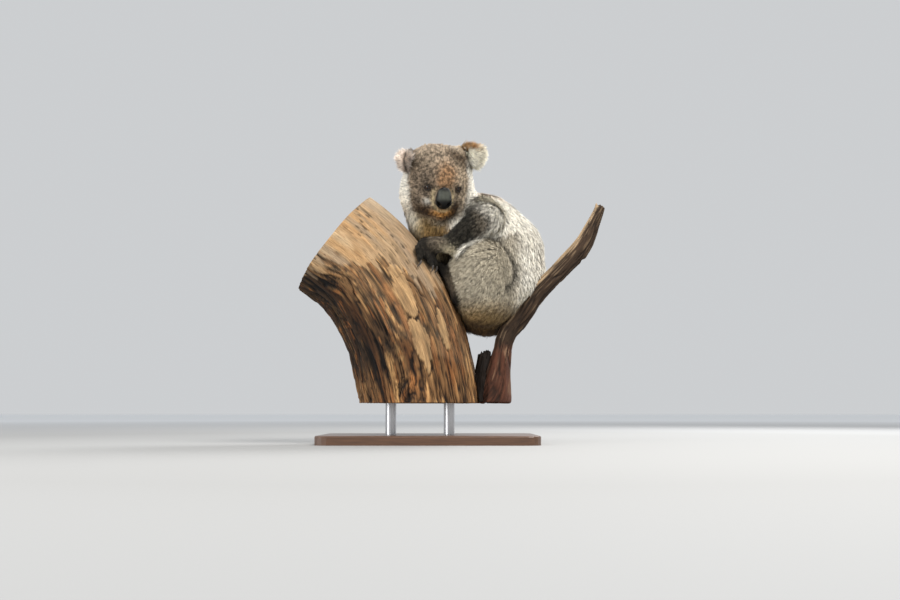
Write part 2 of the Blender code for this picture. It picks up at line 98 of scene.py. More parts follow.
# %% Array helpers
def unit(vectors):
    """The vectors, each made one long."""
    return vectors / np.maximum(np.linalg.norm(vectors, axis=-1, keepdims=True), 1e-9)


def ramp(values, start, end):
    """0 at start, 1 at end, and a smooth S between them."""
    t = np.clip((values - start) / (end - start), 0, 1)
    return t * t * (3 - 2 * t)


def spot(points, place, radii):
    """1 at a place, fading to nothing over the given radii."""
    off = (points - np.array(place)) / np.array(radii)
    return np.exp(-np.sum(off * off, axis=-1))


# Large odd numbers, which scatter neighbouring whole numbers far apart.
MIX_X, MIX_Y, MIX_Z, MIX_SEED = 73856093, 19349663, 83492791, 2654435761
MIX_AGAIN, MIX_LAST = 1274126177, 668265263


def chance(cells, seed):
    """A fixed random number from 0 to 1 for each whole-numbered cell."""
    mixed = cells[..., 0] * MIX_X ^ cells[..., 1] * MIX_Y ^ cells[..., 2] * MIX_Z ^ seed * MIX_SEED
    mixed = (mixed ^ (mixed >> 13)) * MIX_AGAIN & 0x7FFFFFFF
    mixed = (mixed ^ (mixed >> 15)) * MIX_LAST & 0x7FFFFFFF
    return (mixed >> 7 & 0xFFFF) / 65535.0


NOISE_START = 57.3  # keeps the middle of the model off the cells' corners


def wander(points, grain, seed=0):
    """Smooth noise from -1 to 1 whose lumps are about one grain across."""
    p = points / np.array(grain) + NOISE_START
    cell = np.floor(p).astype(np.int64)
    f = p - cell
    f = f * f * (3 - 2 * f)
    total = np.zeros(len(points))
    for corner in np.ndindex(2, 2, 2):
        weight = np.prod(np.where(np.array(corner) == 1, f, 1 - f), axis=-1)
        total += weight * chance(cell + np.array(corner), seed)
    return 2 * total - 1


def near_path(points, path, radius, deep=1.0):
    """1 on a path of straight pieces, falling to 0 beside it; deep counts the y distance less."""
    points, path = points * [1, deep, 1], np.array(path) * [1, deep, 1]
    nearest = np.full(len(points), np.inf)
    for a, b in zip(path[:-1], path[1:]):
        share = np.clip((points - a) @ (b - a) / ((b - a) @ (b - a)), 0, 1)
        nearest = np.minimum(nearest, np.linalg.norm(points - a - share[:, None] * (b - a), axis=1))
    return np.exp(-((nearest / radius) ** 2))


def tone(red, green, blue):
    """A colour given in screen steps of 0 to 255, as the linear numbers that shaders use."""
    c = np.array([red, green, blue]) / 255.0
    return np.where(c <= 0.04045, c / 12.92, ((c + 0.055) / 1.055) ** 2.4)


def paint(colours, colour, mask):
    """Mixes a colour in where the mask is 1."""
    return colours + (np.array(colour) - colours) * mask[:, None]


# %% [markdown]
# A mesh's own arrays are read and written in one go with foreach_get and foreach_set, which is a
# hundred times faster than a loop over its vertices. The other helpers blur a value over the mesh,
# keep it as an attribute, and turn an object with modifiers into a plain mesh.


# %% Mesh helpers
def points_of(mesh):
    """The places of all vertices."""
    flat = np.empty(len(mesh.vertices) * 3)
    mesh.vertices.foreach_get("co", flat)
    return flat.reshape(-1, 3)


def normals_of(mesh):
    """The smooth normals of all vertices."""
    flat = np.empty(len(mesh.vertices) * 3, np.float32)
    mesh.vertex_normals.foreach_get("vector", flat)
    return flat.reshape(-1, 3).astype(float)


def edges_of(mesh):
    """The two vertices of every edge, by number."""
    flat = np.empty(len(mesh.edges) * 2, np.int32)
    mesh.edges.foreach_get("vertices", flat)
    return flat.reshape(-1, 2)


def move_points(mesh, points):
    """Gives all vertices new places."""
    mesh.vertices.foreach_set("co", points.ravel())
    mesh.update()


def blur(values, edges, rounds, share=0.5):
    """Moves each vertex's value towards the mean of its neighbours', again and again."""
    values = np.array(values, float)
    flat = values.reshape(len(values), -1)
    count = np.bincount(edges.ravel(), minlength=len(flat))[:, None]
    for _ in range(rounds):
        near = np.empty_like(flat)
        for k in range(flat.shape[1]):
            near[:, k] = np.bincount(edges[:, 0], flat[edges[:, 1], k], len(flat))
            near[:, k] += np.bincount(edges[:, 1], flat[edges[:, 0], k], len(flat))
        flat += share * (near / np.maximum(count, 1) - flat)
    return flat.reshape(values.shape)


def store(mesh, name, values, kind="FLOAT", domain="POINT"):
    """Keeps one value for each vertex, corner or face under a name that shaders can read."""
    field = {"FLOAT": "value", "INT": "value", "FLOAT_COLOR": "color"}.get(kind, "vector")
    kept_values = mesh.attributes.new(name, kind, domain)
    kept_values.data.foreach_set(field, np.ascontiguousarray(values).ravel())


def stored(mesh, name, width=1):
    """The stored values, one or more numbers for each vertex."""
    flat = np.empty(len(mesh.vertices) * width, np.float32)
    mesh.attributes[name].data.foreach_get("value" if width == 1 else "vector", flat)
    return flat.astype(float) if width == 1 else flat.astype(float).reshape(-1, width)


def new_object(name, data):
    """An object for a mesh, a lamp or a camera, in the scene."""
    thing = bpy.data.objects.new(name, data)
    bpy.context.scene.collection.objects.link(thing)
    return thing


def evaluated(thing, name):
    """A plain mesh of what the object's modifiers make; the object itself goes away."""
    graph = bpy.context.evaluated_depsgraph_get()
    mesh = bpy.data.meshes.new_from_object(thing.evaluated_get(graph))
    mesh.name = name
    bpy.data.objects.remove(thing)
    return mesh


MERGE_DISTANCE = 1e-5


def solid_copy(names, swell=0.0):
    """One bmesh with closed copies of the named solids, each swollen a little along its normals."""
    joined = bmesh.new()
    for name in names:
        part = bmesh.new()
        part.from_mesh(NODES[name].data)
        bmesh.ops.remove_doubles(part, verts=part.verts[:], dist=MERGE_DISTANCE)
        bmesh.ops.recalc_face_normals(part, faces=part.faces[:])
        for corner in part.verts:
            corner.co += corner.normal * swell
        mesh = bpy.data.meshes.new("part")
        part.to_mesh(mesh)
        part.free()
        joined.from_mesh(mesh)
        bpy.data.meshes.remove(mesh)
    return joined


def melted(names, voxel, swell=0.0):
    """The named solids fused into one closed skin of small, even quads."""
    mesh = bpy.data.meshes.new("melted")
    joined = solid_copy(names, swell)
    joined.to_mesh(mesh)
    joined.free()
    thing = new_object("melted", mesh)
    fuse = thing.modifiers.new("fuse", "REMESH")
    fuse.mode = "VOXEL"
    fuse.voxel_size = voxel
    return evaluated(thing, "melted")


def shade_smooth(mesh):
    """The same mesh, with its facets shaded as one smooth surface."""
    mesh.shade_smooth()
    return mesh


# %% [markdown]
# ## Finding the head
#
# A koala's face is nearly symmetrical, but here it is turned and tipped. Its markings could be
# placed one by one in the room. It is easier to find the head's own frame once and to lay the face
# out in that. Three solids fix it: the two eyes give the sideways axis, and the nose lies a known
# angle below the way the face looks. In this frame x is the koala's left, y backwards and z up.


# %% The head's own frame
def middle(name):
    """The middle of a solid's box."""
    low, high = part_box(name)
    return np.array((low + high) / 2)


NOSE_BELOW = math.radians(32.8)  # how far below the face's direction the nose lies, from the eyes
EYE_BACK, EYE_UP = 0.060, 0.002  # the eyes lie this far before and above the head's middle

EYES = {1: middle("eye_left"), -1: middle("eye_right")}
EYE_RADIUS = float((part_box("eye_left")[1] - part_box("eye_left")[0]).x) / 2
eyes_middle = (EYES[1] + EYES[-1]) / 2
sideways = unit(EYES[1] - EYES[-1])
to_nose = unit(middle("nose") - eyes_middle)
to_nose = unit(to_nose - sideways * to_nose.dot(sideways))
crossing = np.cross(sideways, to_nose)
forward = math.cos(NOSE_BELOW) * to_nose - math.sin(NOSE_BELOW) * crossing
upward = -math.sin(NOSE_BELOW) * to_nose - math.cos(NOSE_BELOW) * crossing
HEAD_AXES = np.stack([sideways, -forward, upward])
HEAD_MIDDLE = eyes_middle - np.array([0, -EYE_BACK, EYE_UP]) @ HEAD_AXES


def on_head(x, y, z):
    """A place given in the head's frame, in the world."""
    return HEAD_MIDDLE + np.array([x, y, z]) @ HEAD_AXES


def to_head(points):
    """Places in the world, given in the head's frame."""
    return (points - HEAD_MIDDLE) @ HEAD_AXES.T


NOSE_FRONT = to_head(middle("nose"))
print("head middle", HEAD_MIDDLE.round(4), "looks along", forward.round(3), "nose at", NOSE_FRONT.round(4))

# %% [markdown]
# ## One skin for the whole body
#
# The solids are parted where a person would name the parts, but a skin has no seams. Boolean unions
# would join them with a sharp edge at every meeting. A voxel remesh lays a fine grid over everything
# and draws one new surface round the outside, and blurring that surface rounds the meetings off.
# Paws have thin digits, so they are relaxed less.

# %% Fuse the flesh
SKIN_VOXEL = 0.0034
SKIN_SWELL = 0.0005  # closes the hair-wide gaps between the solids
KINDS = ["head", "ear", "neck", "torso", "upper_arm", "forearm", "hand", "thigh", "shank", "foot"]
kind_of = {n: k for n in sorted(NODES) for k in KINDS if n == k or n.startswith(k + "_")}
FLESH = list(kind_of)

skin_mesh = melted(FLESH + ["eye_left", "eye_right"], SKIN_VOXEL, SKIN_SWELL)
print("skin", len(skin_mesh.vertices), "points, from", len(FLESH), "solids")

# %% [markdown]
# Each point of the skin now asks which solid it came from. The answers are 0 or 1 for every solid;
# blurring them over the mesh gives soft shares, so that lengths, colours and directions that
# differ between an arm and the back pass smoothly into each other.


# %% Share every skin point out among the solids
def owner_shares(points, edges, rounds):
    """For each point, how much it belongs to each solid of flesh."""
    corners, faces, owners = [], [], []
    for k, name in enumerate(FLESH):
        mesh = NODES[name].data
        faces += [[len(corners) + v for v in face.vertices] for face in mesh.polygons]
        owners += [k] * len(mesh.polygons)
        corners += [v.co for v in mesh.vertices]
    tree = BVHTree.FromPolygons(corners, faces)
    shares = np.zeros((len(points), len(FLESH)))
    for i, point in enumerate(points):
        shares[i, owners[tree.find_nearest(Vector(point))[2]]] = 1
    return blur(shares, edges, rounds)


SHARE_BLUR, SKIN_BLUR = 9, 14
PAW_HOLD = 0.75  # how much of its own shape a paw keeps

points = points_of(skin_mesh)
edges = edges_of(skin_mesh)
shares = owner_shares(points, edges, SHARE_BLUR)
share_of = {k: sum(shares[:, i] for i, n in enumerate(FLESH) if kind_of[n] == k) for k in KINDS}
paw = np.clip(share_of["hand"] + share_of["foot"], 0, 1)
relaxed = blur(points, edges, SKIN_BLUR)
points = points + (relaxed - points) * (1 - PAW_HOLD * paw)[:, None]
points = blur(points, edges, 2)
move_points(skin_mesh, points)
print("each point shared out; paws hold", int((paw > 0.5).sum()), "points")

# %% [markdown]
# ## The lie of the coat
#
# Fur grows out of the skin and leans over, always in about the same direction: away from the nose,
# over the crown, down the back, and along each limb to its paw. It could be combed with Blender's
# hair brushes, but then each change of shape would need combing again. Here every solid names its
# own direction, and the soft shares blend them into one vector for each skin point.

# %% Directions in which the coat lies
DOWN = np.array([0, 0, -1.0])
NEXT_IN_LIMB = {"upper_arm": "forearm", "forearm": "hand", "thigh": "shank", "shank": "foot"}
EAR_WHORL = {"left": (0.046, 0.016, 0.044), "right": (-0.050, 0.016, 0.044)}  # an ear's hair leaves here
EAR_HANG = {"left": 0.70, "right": 0.0}  # how much an ear's long hair hangs
NAPE_HANG, THIGH_HANG, LIMB_HANG = 1.4, 0.9, 0.35

CLAWS = {}
for side in ("left", "right"):
    for end in ("hand", "foot"):
        names = [n for n in NODES if n.startswith(f"claw_{end}_{side}")]
        CLAWS[end, side] = sum(middle(n) for n in names) / len(names)


def head_lie(points):
    """Away from a place just above the nose and, behind the ears, down the nape."""
    h = to_head(points)
    from_nose = unit(h - np.array([0, NOSE_FRONT[1] + 0.012, NOSE_FRONT[2] + 0.004]))
    way = (from_nose + np.array([0, 0.25, 0])) @ HEAD_AXES
    return way + NAPE_HANG * ramp(h[:, 1], 0.005, 0.055)[:, None] * DOWN


def limb_lie(name, kind, side):
    """Along the limb to the next part of it, or over a paw to its claws, and a little down."""
    if kind in NEXT_IN_LIMB:
        along = unit(middle(f"{NEXT_IN_LIMB[kind]}_{side}") - middle(name))
    else:
        along = unit(CLAWS[kind, side] - middle(name))
    return unit(along + (THIGH_HANG if kind == "thigh" else LIMB_HANG) * DOWN)


def solid_lie(name, points):
    """The way the hair lies on one solid, for each point."""
    kind = kind_of[name]
    side = "left" if name.endswith("left") else "right"
    if kind == "head":
        return head_lie(points)
    if kind == "ear":
        return unit(points - on_head(*EAR_WHORL[side])) + EAR_HANG[side] * DOWN
    if kind in ("neck", "torso"):
        return unit(0.30 * unit(points - HEAD_MIDDLE) + 0.9 * DOWN)
    return limb_lie(name, kind, side)


lie = np.zeros_like(points)
for k, name in enumerate(FLESH):
    lie += shares[:, k : k + 1] * solid_lie(name, points)

normals = normals_of(skin_mesh)
lie += 0.28 * np.stack([wander(points, 0.045, seed) for seed in (3, 4, 5)], axis=1)
lie = blur(lie, edges, 4)
lie = unit(lie - normals * np.sum(lie * normals, axis=1, keepdims=True))
print("the coat points down on", round(float((lie[:, 2] < 0).mean()), 2), "of the skin")

# %% [markdown]
# ## How long the coat is
#
# A koala's coat is millimetres long on the muzzle and the paws, a thick soft pile on the back, longer
# in the ruffs beside the cheeks and longest round the ears. Length is the second field. If the locks
# stood on the solids' own surface the animal would grow by their length, so the skin first sinks by
# the room that the coat needs, and the tips of the locks draw the solids' own outline.

# %% Coat length and depth
LENGTHS = {
    "head": 0.012,
    "ear": 0.021,
    "neck": 0.019,
    "torso": 0.021,
    "upper_arm": 0.017,
    "forearm": 0.015,
    "hand": 0.0065,
    "thigh": 0.017,
    "shank": 0.012,
    "foot": 0.006,
}
COVER = 0.50  # the depth of the coat, as a share of its length
EAR_SHRINK = {-1: 0.28, 1: 0.22}  # how much smaller the skin of an ear is, to leave room for its fringe
EAR_FOOT = (0.046, 0.014, 0.040)  # where an ear stands on the head; x is mirrored for the right one
# The hem is the long pale edge under the arm, the crease is where the thigh meets the flank, and
# the armpit is the fold that the arm makes with the flank, which loose hair fills up and which is
# brightened with painted light.
HEM = [(0.124, -0.030, 0.524), (0.121, -0.045, 0.506), (0.108, -0.066, 0.480), (0.085, -0.094, 0.464)]
HEM += [(0.058, -0.096, 0.453), (0.037, -0.090, 0.439), (0.019, -0.090, 0.426)]
CREASE = [(0.097, -0.062, 0.458), (0.115, -0.064, 0.437), (0.130, -0.064, 0.410), (0.134, -0.065, 0.383)]
CREASE += [(0.130, -0.068, 0.360), (0.118, -0.074, 0.350)]
ARMPIT = [(0.106, -0.040, 0.528), (0.104, -0.083, 0.491), (0.094, -0.094, 0.476)]

fur_length = sum(share_of[k] * LENGTHS[k] for k in KINDS)
head_points = to_head(points)
under_nose = np.array([0, NOSE_FRONT[1], NOSE_FRONT[2] - 0.004])
from_nose = np.linalg.norm((head_points - under_nose) / [1, 1.2, 1], axis=1)
face_length = 0.0030 + 0.0095 * ramp(from_nose, 0.018, 0.085)
ruffs = sum(spot(head_points, (s * 0.070, -0.004, -0.026), (0.022, 0.040, 0.048)) for s in (1, -1))
face_length = face_length + 0.007 * ruffs
on_the_head = np.clip(share_of["head"], 0, 1)
fur_length = fur_length * (1 - on_the_head) + face_length * on_the_head
hem = near_path(points, HEM, 0.008, 0.3)
crease = near_path(points, CREASE, 0.0045, 0.3)
fringe = share_of["ear"] * ramp(head_points[:, 0], 0.056, 0.080)
low_fringe = share_of["ear"] * ramp(head_points[:, 0], 0.050, 0.066) * ramp(head_points[:, 2], 0.072, 0.050)
fringe = np.maximum(fringe, 1.3 * low_fringe)
fur_length = (fur_length + 0.004 * hem + 0.008 * fringe) * (1 - 0.60 * crease)
depth = blur(COVER * fur_length, edges, 6) + 0.0035 * crease - 0.0045 * near_path(points, ARMPIT, 0.012)
print("coat from", round(fur_length.min() * 1000, 1), "to", round(fur_length.max() * 1000, 1), "mm long")

points = points - normals * depth[:, None]
points = blur(points, edges, 2)
for side, smaller in EAR_SHRINK.items():
    on_ear = np.clip(1.4 * share_of["ear"], 0, 1) * (side * head_points[:, 0] > 0)
    foot = on_head(EAR_FOOT[0] * side, *EAR_FOOT[1:])
    points = points + (smaller * on_ear)[:, None] * (foot - points)
move_points(skin_mesh, points)
store(skin_mesh, "lie", lie, "FLOAT_VECTOR")
store(skin_mesh, "fur_length", fur_length)
for k in KINDS:
    store(skin_mesh, "share_" + k, share_of[k])

# %% [markdown]
# ## A finer face
#
# Lids and a mouth need a closer mesh than a back does. A finer voxel would make the whole skin four
# times as heavy, so only the quads of the face are cut into four by four. BMesh does that, and it
# blends the stored fields onto the new points.


# %% Subdivide the face
FACE_FRONT, FACE_SIDE, FACE_LOW, FACE_HIGH = -0.030, 0.056, -0.080, 0.030  # in the head's frame


def refine_face(mesh):
    """Cuts each quad of the face in four both ways."""
    bm = bmesh.new()
    bm.from_mesh(mesh)
    share = bm.verts.layers.float["share_head"]
    chosen = set()
    for face in bm.faces:
        x, y, z = to_head(np.array(face.calc_center_median()))
        on_face = y < FACE_FRONT and abs(x) < FACE_SIDE and FACE_LOW < z < FACE_HIGH
        if on_face and min(v[share] for v in face.verts) > 0.5:
            chosen.update(face.edges)
    bmesh.ops.subdivide_edges(bm, edges=list(chosen), cuts=3, use_grid_fill=True)
    bm.to_mesh(mesh)
    bm.free()


refine_face(skin_mesh)
print("skin with a fine face:", len(skin_mesh.vertices), "points")

points = points_of(skin_mesh)
edges = edges_of(skin_mesh)
head_points = to_head(points)
share_of = {k: stored(skin_mesh, "share_" + k) for k in KINDS}
near_face = share_of["head"] * (head_points[:, 1] < -0.025)
relaxed = blur(points, edges, 8)
points = points + (relaxed - points) * near_face[:, None]
move_points(skin_mesh, points)

# %% [markdown]
# ## Lids
#
# A dozing koala's lids are half closed over small eyes. They could be sculpted, but a rule keeps both
# eyes alike. The skin near each eye is pulled onto a ball a little larger than the eyeball, except
# inside an almond-shaped opening, where it drops behind the eye. That leaves a real upper and lower
# lid with a thicker edge.

# %% Shape the lids
LID_THICKNESS, LID_EDGE = 0.0014, 0.0009  # the edge is thicker by this much
OPEN_WIDE, OPEN_HIGH = 0.0058, 0.0036  # half the opening between the lids
OPEN_DROP = 0.0006  # how far the opening lies below the middle of the eye
OPEN_DEPTH = 0.004  # how far the skin drops behind the eye's surface
LID_TURN, LID_TILT = math.radians(24), math.radians(-8)  # the opening looks aside, and slants
LID_REACH = 2.4  # the lids end this many eye radii from the eye's middle

head_points = to_head(points)
opening_mask = np.zeros(len(points))
rim_mask = np.zeros(len(points))
for side in (1, -1):
    eye = to_head(EYES[side])
    turn, tilt = LID_TURN * side, LID_TILT * side
    outward = np.array([math.sin(turn), -math.cos(turn), 0.0])
    across = np.array([math.cos(turn), math.sin(turn), 0.0])
    off = head_points - eye
    reach = np.linalg.norm(off, axis=1)
    ahead = off @ outward / reach
    flat = off / reach[:, None] * EYE_RADIUS
    a, b = flat @ across, flat[:, 2]
    wide = a * math.cos(tilt) + b * math.sin(tilt)
    high = b * math.cos(tilt) - a * math.sin(tilt)
    bow = OPEN_HIGH * np.sqrt(np.clip(1 - (wide / OPEN_WIDE) ** 2, 0, 1))
    beyond = np.abs(wide) - OPEN_WIDE
    gap = np.where(beyond < 0, bow - np.abs(high + OPEN_DROP), -np.hypot(beyond, high))
    inside = ramp(gap, -0.0004, 0.0010) * (ahead > 0)
    edge = np.exp(-(((gap + 0.0012) / 0.0012) ** 2))
    lid_reach = EYE_RADIUS + LID_THICKNESS + LID_EDGE * edge
    wanted = lid_reach * (1 - inside) + (EYE_RADIUS - OPEN_DEPTH) * inside
    hold = ramp(ahead, 0.15, 0.55) * ramp(reach, EYE_RADIUS * LID_REACH, EYE_RADIUS * 1.5)
    new_reach = reach + (wanted - reach) * hold
    head_points = eye + off * (new_reach / reach)[:, None]
    close = (reach < EYE_RADIUS * LID_REACH) * (ahead > 0)
    opening_mask = np.maximum(opening_mask, inside * close)
    rim_mask = np.maximum(rim_mask, ramp(gap, -0.0019, -0.0009) * close)
print("lids shaped;", int((opening_mask > 0.5).sum()), "points lie behind the openings")

# %% [markdown]
# ## Mouth
#
# The mouth is a shallow groove under the nose that droops to both sides, with a short cleft above
# its middle and a soft lip below. The face's fine mesh is close enough to push these in by a formula.

# %% Shape the mouth
MOUTH_HEIGHT, MOUTH_DROOP, MOUTH_PEAK = -0.0545, 0.010, 0.0015
MOUTH_DEPTH, CLEFT_DEPTH, LIP_FULLNESS = 0.0030, 0.0014, 0.0016

x, y, z = head_points.T
front = ramp(-y, 0.045, 0.060)
line_height = MOUTH_HEIGHT - MOUTH_DROOP * ramp(np.abs(x), 0.002, 0.024)
line_height = line_height + MOUTH_PEAK * np.exp(-((x / 0.004) ** 2))
mouth = np.exp(-(((z - line_height) / 0.0016) ** 2)) * ramp(np.abs(x), 0.026, 0.020) * front
cleft = np.exp(-((x / 0.0013) ** 2)) * ramp(z, -0.056, -0.053) * ramp(z, -0.038, -0.044) * front
lip = np.exp(-(((z - line_height + 0.006) / 0.0035) ** 2)) * ramp(np.abs(x), 0.024, 0.010) * front
head_points[:, 1] += MOUTH_DEPTH * mouth + CLEFT_DEPTH * cleft - LIP_FULLNESS * lip
points = head_points @ HEAD_AXES + HEAD_MIDDLE
move_points(skin_mesh, points)
print("mouth shaped on", int((near_face > 0.5).sum()), "points of the face")

# %% [markdown]
# ## Markings
#
# A koala is grey above and pale below, with white ruffs, a rusty forehead, an ochre breast and dark
# hands. Such a coat could be painted on a flat map, but a map has a fixed number of dots and has to
# be painted again when the shape changes. Here every marking is a named patch: a soft spot, a line,
# or the soft share of a limb. The same colours serve the skin and every lock that grows from it.

# %% Palette
GREY = tone(182, 172, 151)
PALE = tone(226, 221, 208)
WHITE = tone(240, 235, 222)
BACK = tone(178, 168, 152)
RIDGE = tone(226, 212, 194)
GOLDEN_SHADE = tone(150, 120, 70)
UNDERSIDE_SHADE = tone(84, 60, 28)
ARM = tone(104, 95, 82)
ARM_DARK_AND_SHADE = tone(40, 38, 31)
PAW = tone(112, 100, 84)
DARK_DIGIT_AND_SHADE = tone(40, 36, 30)
WRIST = tone(200, 188, 158)
FAR_WRIST_SHADE = tone(30, 26, 20)
CREAM = tone(214, 196, 156)
BIB_EDGE_WHITE_AND_LIGHT = tone(248, 243, 228)
OCHRE = tone(146, 110, 54)
FACE = tone(141, 124, 104)
CROWN = tone(172, 155, 134)
MASK = tone(104, 90, 76)
LIT_CHEEK = tone(176, 158, 134)
RUST = tone(160, 122, 86)
CHIN = tone(228, 162, 84)
STRAW = tone(206, 186, 146)
UMBER = tone(60, 45, 30)
LID = tone(38, 32, 28)
EAR_WHITE_GLOW = tone(252, 248, 234)
EAR_SAND = tone(206, 164, 112)
EAR_BROWN = tone(158, 140, 122)
EAR_RIM = tone(240, 228, 216)


# %% [markdown]
# The body comes first. Each function lays its markings over those before it, in the world's own
# metres: x is to the koala's left, y backwards and z up.


# %% Markings of the body and the arms
def body_markings(colours, points, shares, patchy):
    """A grey back with a pale ridge, a white rump edged partly with painted rim light, and painted warm shade
    below.
    """
    x, _, z = points.T
    torso = shares["torso"]
    rear = ramp(x, 0.110, 0.185)
    ridge = ramp(z, 0.535, 0.556) * ramp(x, 0.02, 0.05)
    back = np.clip(torso + shares["neck"], 0, 1) * (0.4 + 0.6 * ramp(z, 0.42, 0.56))
    colours = paint(colours, BACK, back)
    colours = paint(colours, PALE, torso * rear * (0.35 + 0.35 * patchy))
    colours = paint(colours, RIDGE, torso * ridge)
    # The far edge of the rump whiter: pale hair, and partly painted rim light.
    colours = paint(colours, WHITE, torso * ramp(x, 0.130, 0.160) * (0.5 + 0.5 * patchy))
    # Painted shade with a warm golden bounce under the body.
    colours = paint(colours, GOLDEN_SHADE, ramp(z, 0.335, 0.285) * 0.85 * (1 - 0.3 * rear))
    # Painted shade, darker, at the very bottom of the body.
    return paint(colours, UNDERSIDE_SHADE, ramp(z, 0.288, 0.262) * 0.85)


def arm_markings(colours, points, shares):
    """Brown arms, dark inside partly as painted shade, pale on the shoulder, with a white hem beneath and
    painted light in the armpit.
    """
    x, y, z = points.T
    arms = np.clip(shares["upper_arm"] + shares["forearm"], 0, 1)
    near_side = ramp(y, 0.06, 0.03)
    inside = ramp(x, 0.072, 0.040) * ramp(y, 0.03, 0.0)
    shoulder = ramp(x + 0.9 * (z - 0.52), 0.044, 0.080)
    upper = ramp(z, 0.512, 0.536) * ramp(x, 0.026, 0.056)
    hem = 1.6 * near_path(points, HEM, 0.0070, 0.3) + 1.2 * near_path(points, HEM[:4], 0.0110, 0.3)
    colours = paint(colours, ARM, arms * (0.55 + 0.45 * ramp(y, 0.06, 0.02)))
    # Dark fur inside the near arm, partly painted shade where the arm faces the body.
    colours = paint(colours, ARM_DARK_AND_SHADE, arms * inside * 0.9)
    colours = paint(colours, PALE, arms * near_side * np.maximum(shoulder, upper))
    colours = paint(colours, BACK, arms * ramp(y, 0.04, 0.08) * 0.85)
    # Painted light in the armpit, lifting the shade of the fold.
    colours = paint(colours, WHITE, near_path(points, ARMPIT, 0.012) * 0.9)
    return paint(colours, WHITE, np.clip(hem, 0, 1) * near_side)


def fold_shadows(colours, points, shares):
    """Painted shade: dark lines under the hem and in the crease, and in the hollow between arm and belly."""
    front = ramp(points[:, 1], 0.0, -0.03)
    beneath_hem = [(x + 0.001, y, z - 0.013) for x, y, z in HEM[2:]]
    for path, width in ((beneath_hem, 0.0042), (CREASE, 0.0060)):
        colours = colours * (1 - 0.85 * near_path(points, path, width, 0.3) * front)[:, None]
    hollow = spot(points, (-0.016, -0.010, 0.414), (0.024, 0.060, 0.026)) * shares["torso"]
    # Painted shadow in the hollow, in the dark tone of the digits.
    return paint(colours, DARK_DIGIT_AND_SHADE, np.clip(2.0 * hollow, 0, 1))


# %% [markdown]
# A koala's paws darken towards the claws. The bib and the belly are pale, and the breast beneath
# the chin is ochre, stained by a gland that it rubs on trees, and partly darkened by painted shade.


# %% Markings of the paws and the breast
def paw_markings(colours, points, shares):
    """Brown paws with dark digits, a pale near wrist, and painted shade on the far wrist."""
    x, _, z = points.T
    colours = paint(colours, PAW, np.clip(shares["hand"] + shares["foot"], 0, 1))
    for (end, _), tips in CLAWS.items():
        digits = spot(points, tips, (0.036, 0.040, 0.034))
        colours = paint(colours, DARK_DIGIT_AND_SHADE, shares[end] * np.clip(digits * 1.5, 0, 1))
    wrist = spot(points, (-0.006, -0.086, 0.426), (0.017, 0.024, 0.013))
    colours = paint(colours, WRIST, np.clip(1.4 * wrist, 0, 1))
    # Painted shade on the far hand and forearm, between chest and trunk.
    far = ramp(x, -0.045, -0.060) * (shares["hand"] + shares["forearm"]) * ramp(z, 0.505, 0.490)
    return paint(colours, FAR_WRIST_SHADE, np.clip(far, 0, 1) * 0.9)


def belly_markings(colours, points, shares):
    """A cream bib with a white edge, partly white hair and partly painted light, and a cream belly."""
    chest = shares["torso"] + shares["neck"]
    bib = spot(points, (-0.075, -0.075, 0.485), (0.060, 0.050, 0.050))
    bib *= np.clip(chest + shares["head"], 0, 1) * ramp(to_head(points)[:, 2], -0.040, -0.062)
    bib_edge = np.clip(1.6 * spot(points, (-0.108, -0.050, 0.512), (0.024, 0.070, 0.048)), 0, 1)
    belly = shares["torso"] * ramp(points[:, 0], 0.0, -0.06) * (1 - bib_edge)
    colours = paint(colours, CREAM, np.clip(1.3 * bib, 0, 1))
    # White edge of the bib, partly painted light on the shaded side of the neck.
    colours = paint(colours, BIB_EDGE_WHITE_AND_LIGHT, bib_edge * chest)
    return paint(colours, CREAM, belly * 0.8)


def foot_markings(colours, points, shares):
    """The near foot's dark toes, and a dark heel that is partly painted shade."""
    heel = spot(points, (0.012, -0.064, 0.303), (0.016, 0.040, 0.024))
    toes = spot(points, (-0.028, -0.064, 0.384), (0.018, 0.040, 0.020))
    # Dark toes, and painted shade over the heel between trunk and rump.
    return paint(colours, DARK_DIGIT_AND_SHADE, np.clip(1.6 * (heel + toes), 0, 1) * (shares["foot"] + shares["shank"]))


def breast_markings(colours, points, shares):
    """Ochre under the chin and on the far side of the breast: a gland's stain, and partly painted shade."""
    x, y, _ = points.T
    under_chin = spot(points, (-0.035, -0.070, 0.478), (0.030, 0.040, 0.034))
    breast = np.clip(shares["torso"] + shares["neck"], 0, 1) * ramp(y, 0.0, -0.03) * ramp(x, 0.01, -0.01)
    # Ochre stain, deepened partly as painted shade under the chin.
    return paint(colours, OCHRE, np.maximum(under_chin, ramp(x, -0.085, -0.055)) * breast * 0.85)


# %% [markdown]
# The head is marked in its own frame. The ruffs' inner edges are smooth lines, each given by how far
# it runs from the middle of the face at a few heights, and np.interp joins them up.

# %% Markings of the head
# A height above the head's middle, and how far the ruff's edge is from the middle of the face there.
RUFF_LEFT = [(-0.068, 0.014), (-0.050, 0.031), (-0.026, 0.045), (0.0, 0.051), (0.026, 0.051), (0.050, 0.044)]
RUFF_RIGHT = [(-0.072, 0.034), (-0.065, 0.048), (-0.039, 0.058), (0.0, 0.064), (0.050, 0.064)]
NOSE_HALF = np.array([0.0180, 0.045, 0.0245])  # half the pad's width, the depth of its rim, half its height


def ruff_mask(h):
    """1 on the white ruffs beside both cheeks."""
    x, y, z = h.T
    left = np.interp(z, *zip(*RUFF_LEFT))
    right = np.interp(z, *zip(*RUFF_RIGHT))
    ruff = ramp(x, left - 0.004, left + 0.004) * ramp(z, 0.062, 0.050)
    ruff += ramp(-x, right - 0.005, right + 0.005) * ramp(z, 0.036, 0.020)
    return ruff * ramp(y, 0.075, 0.03)


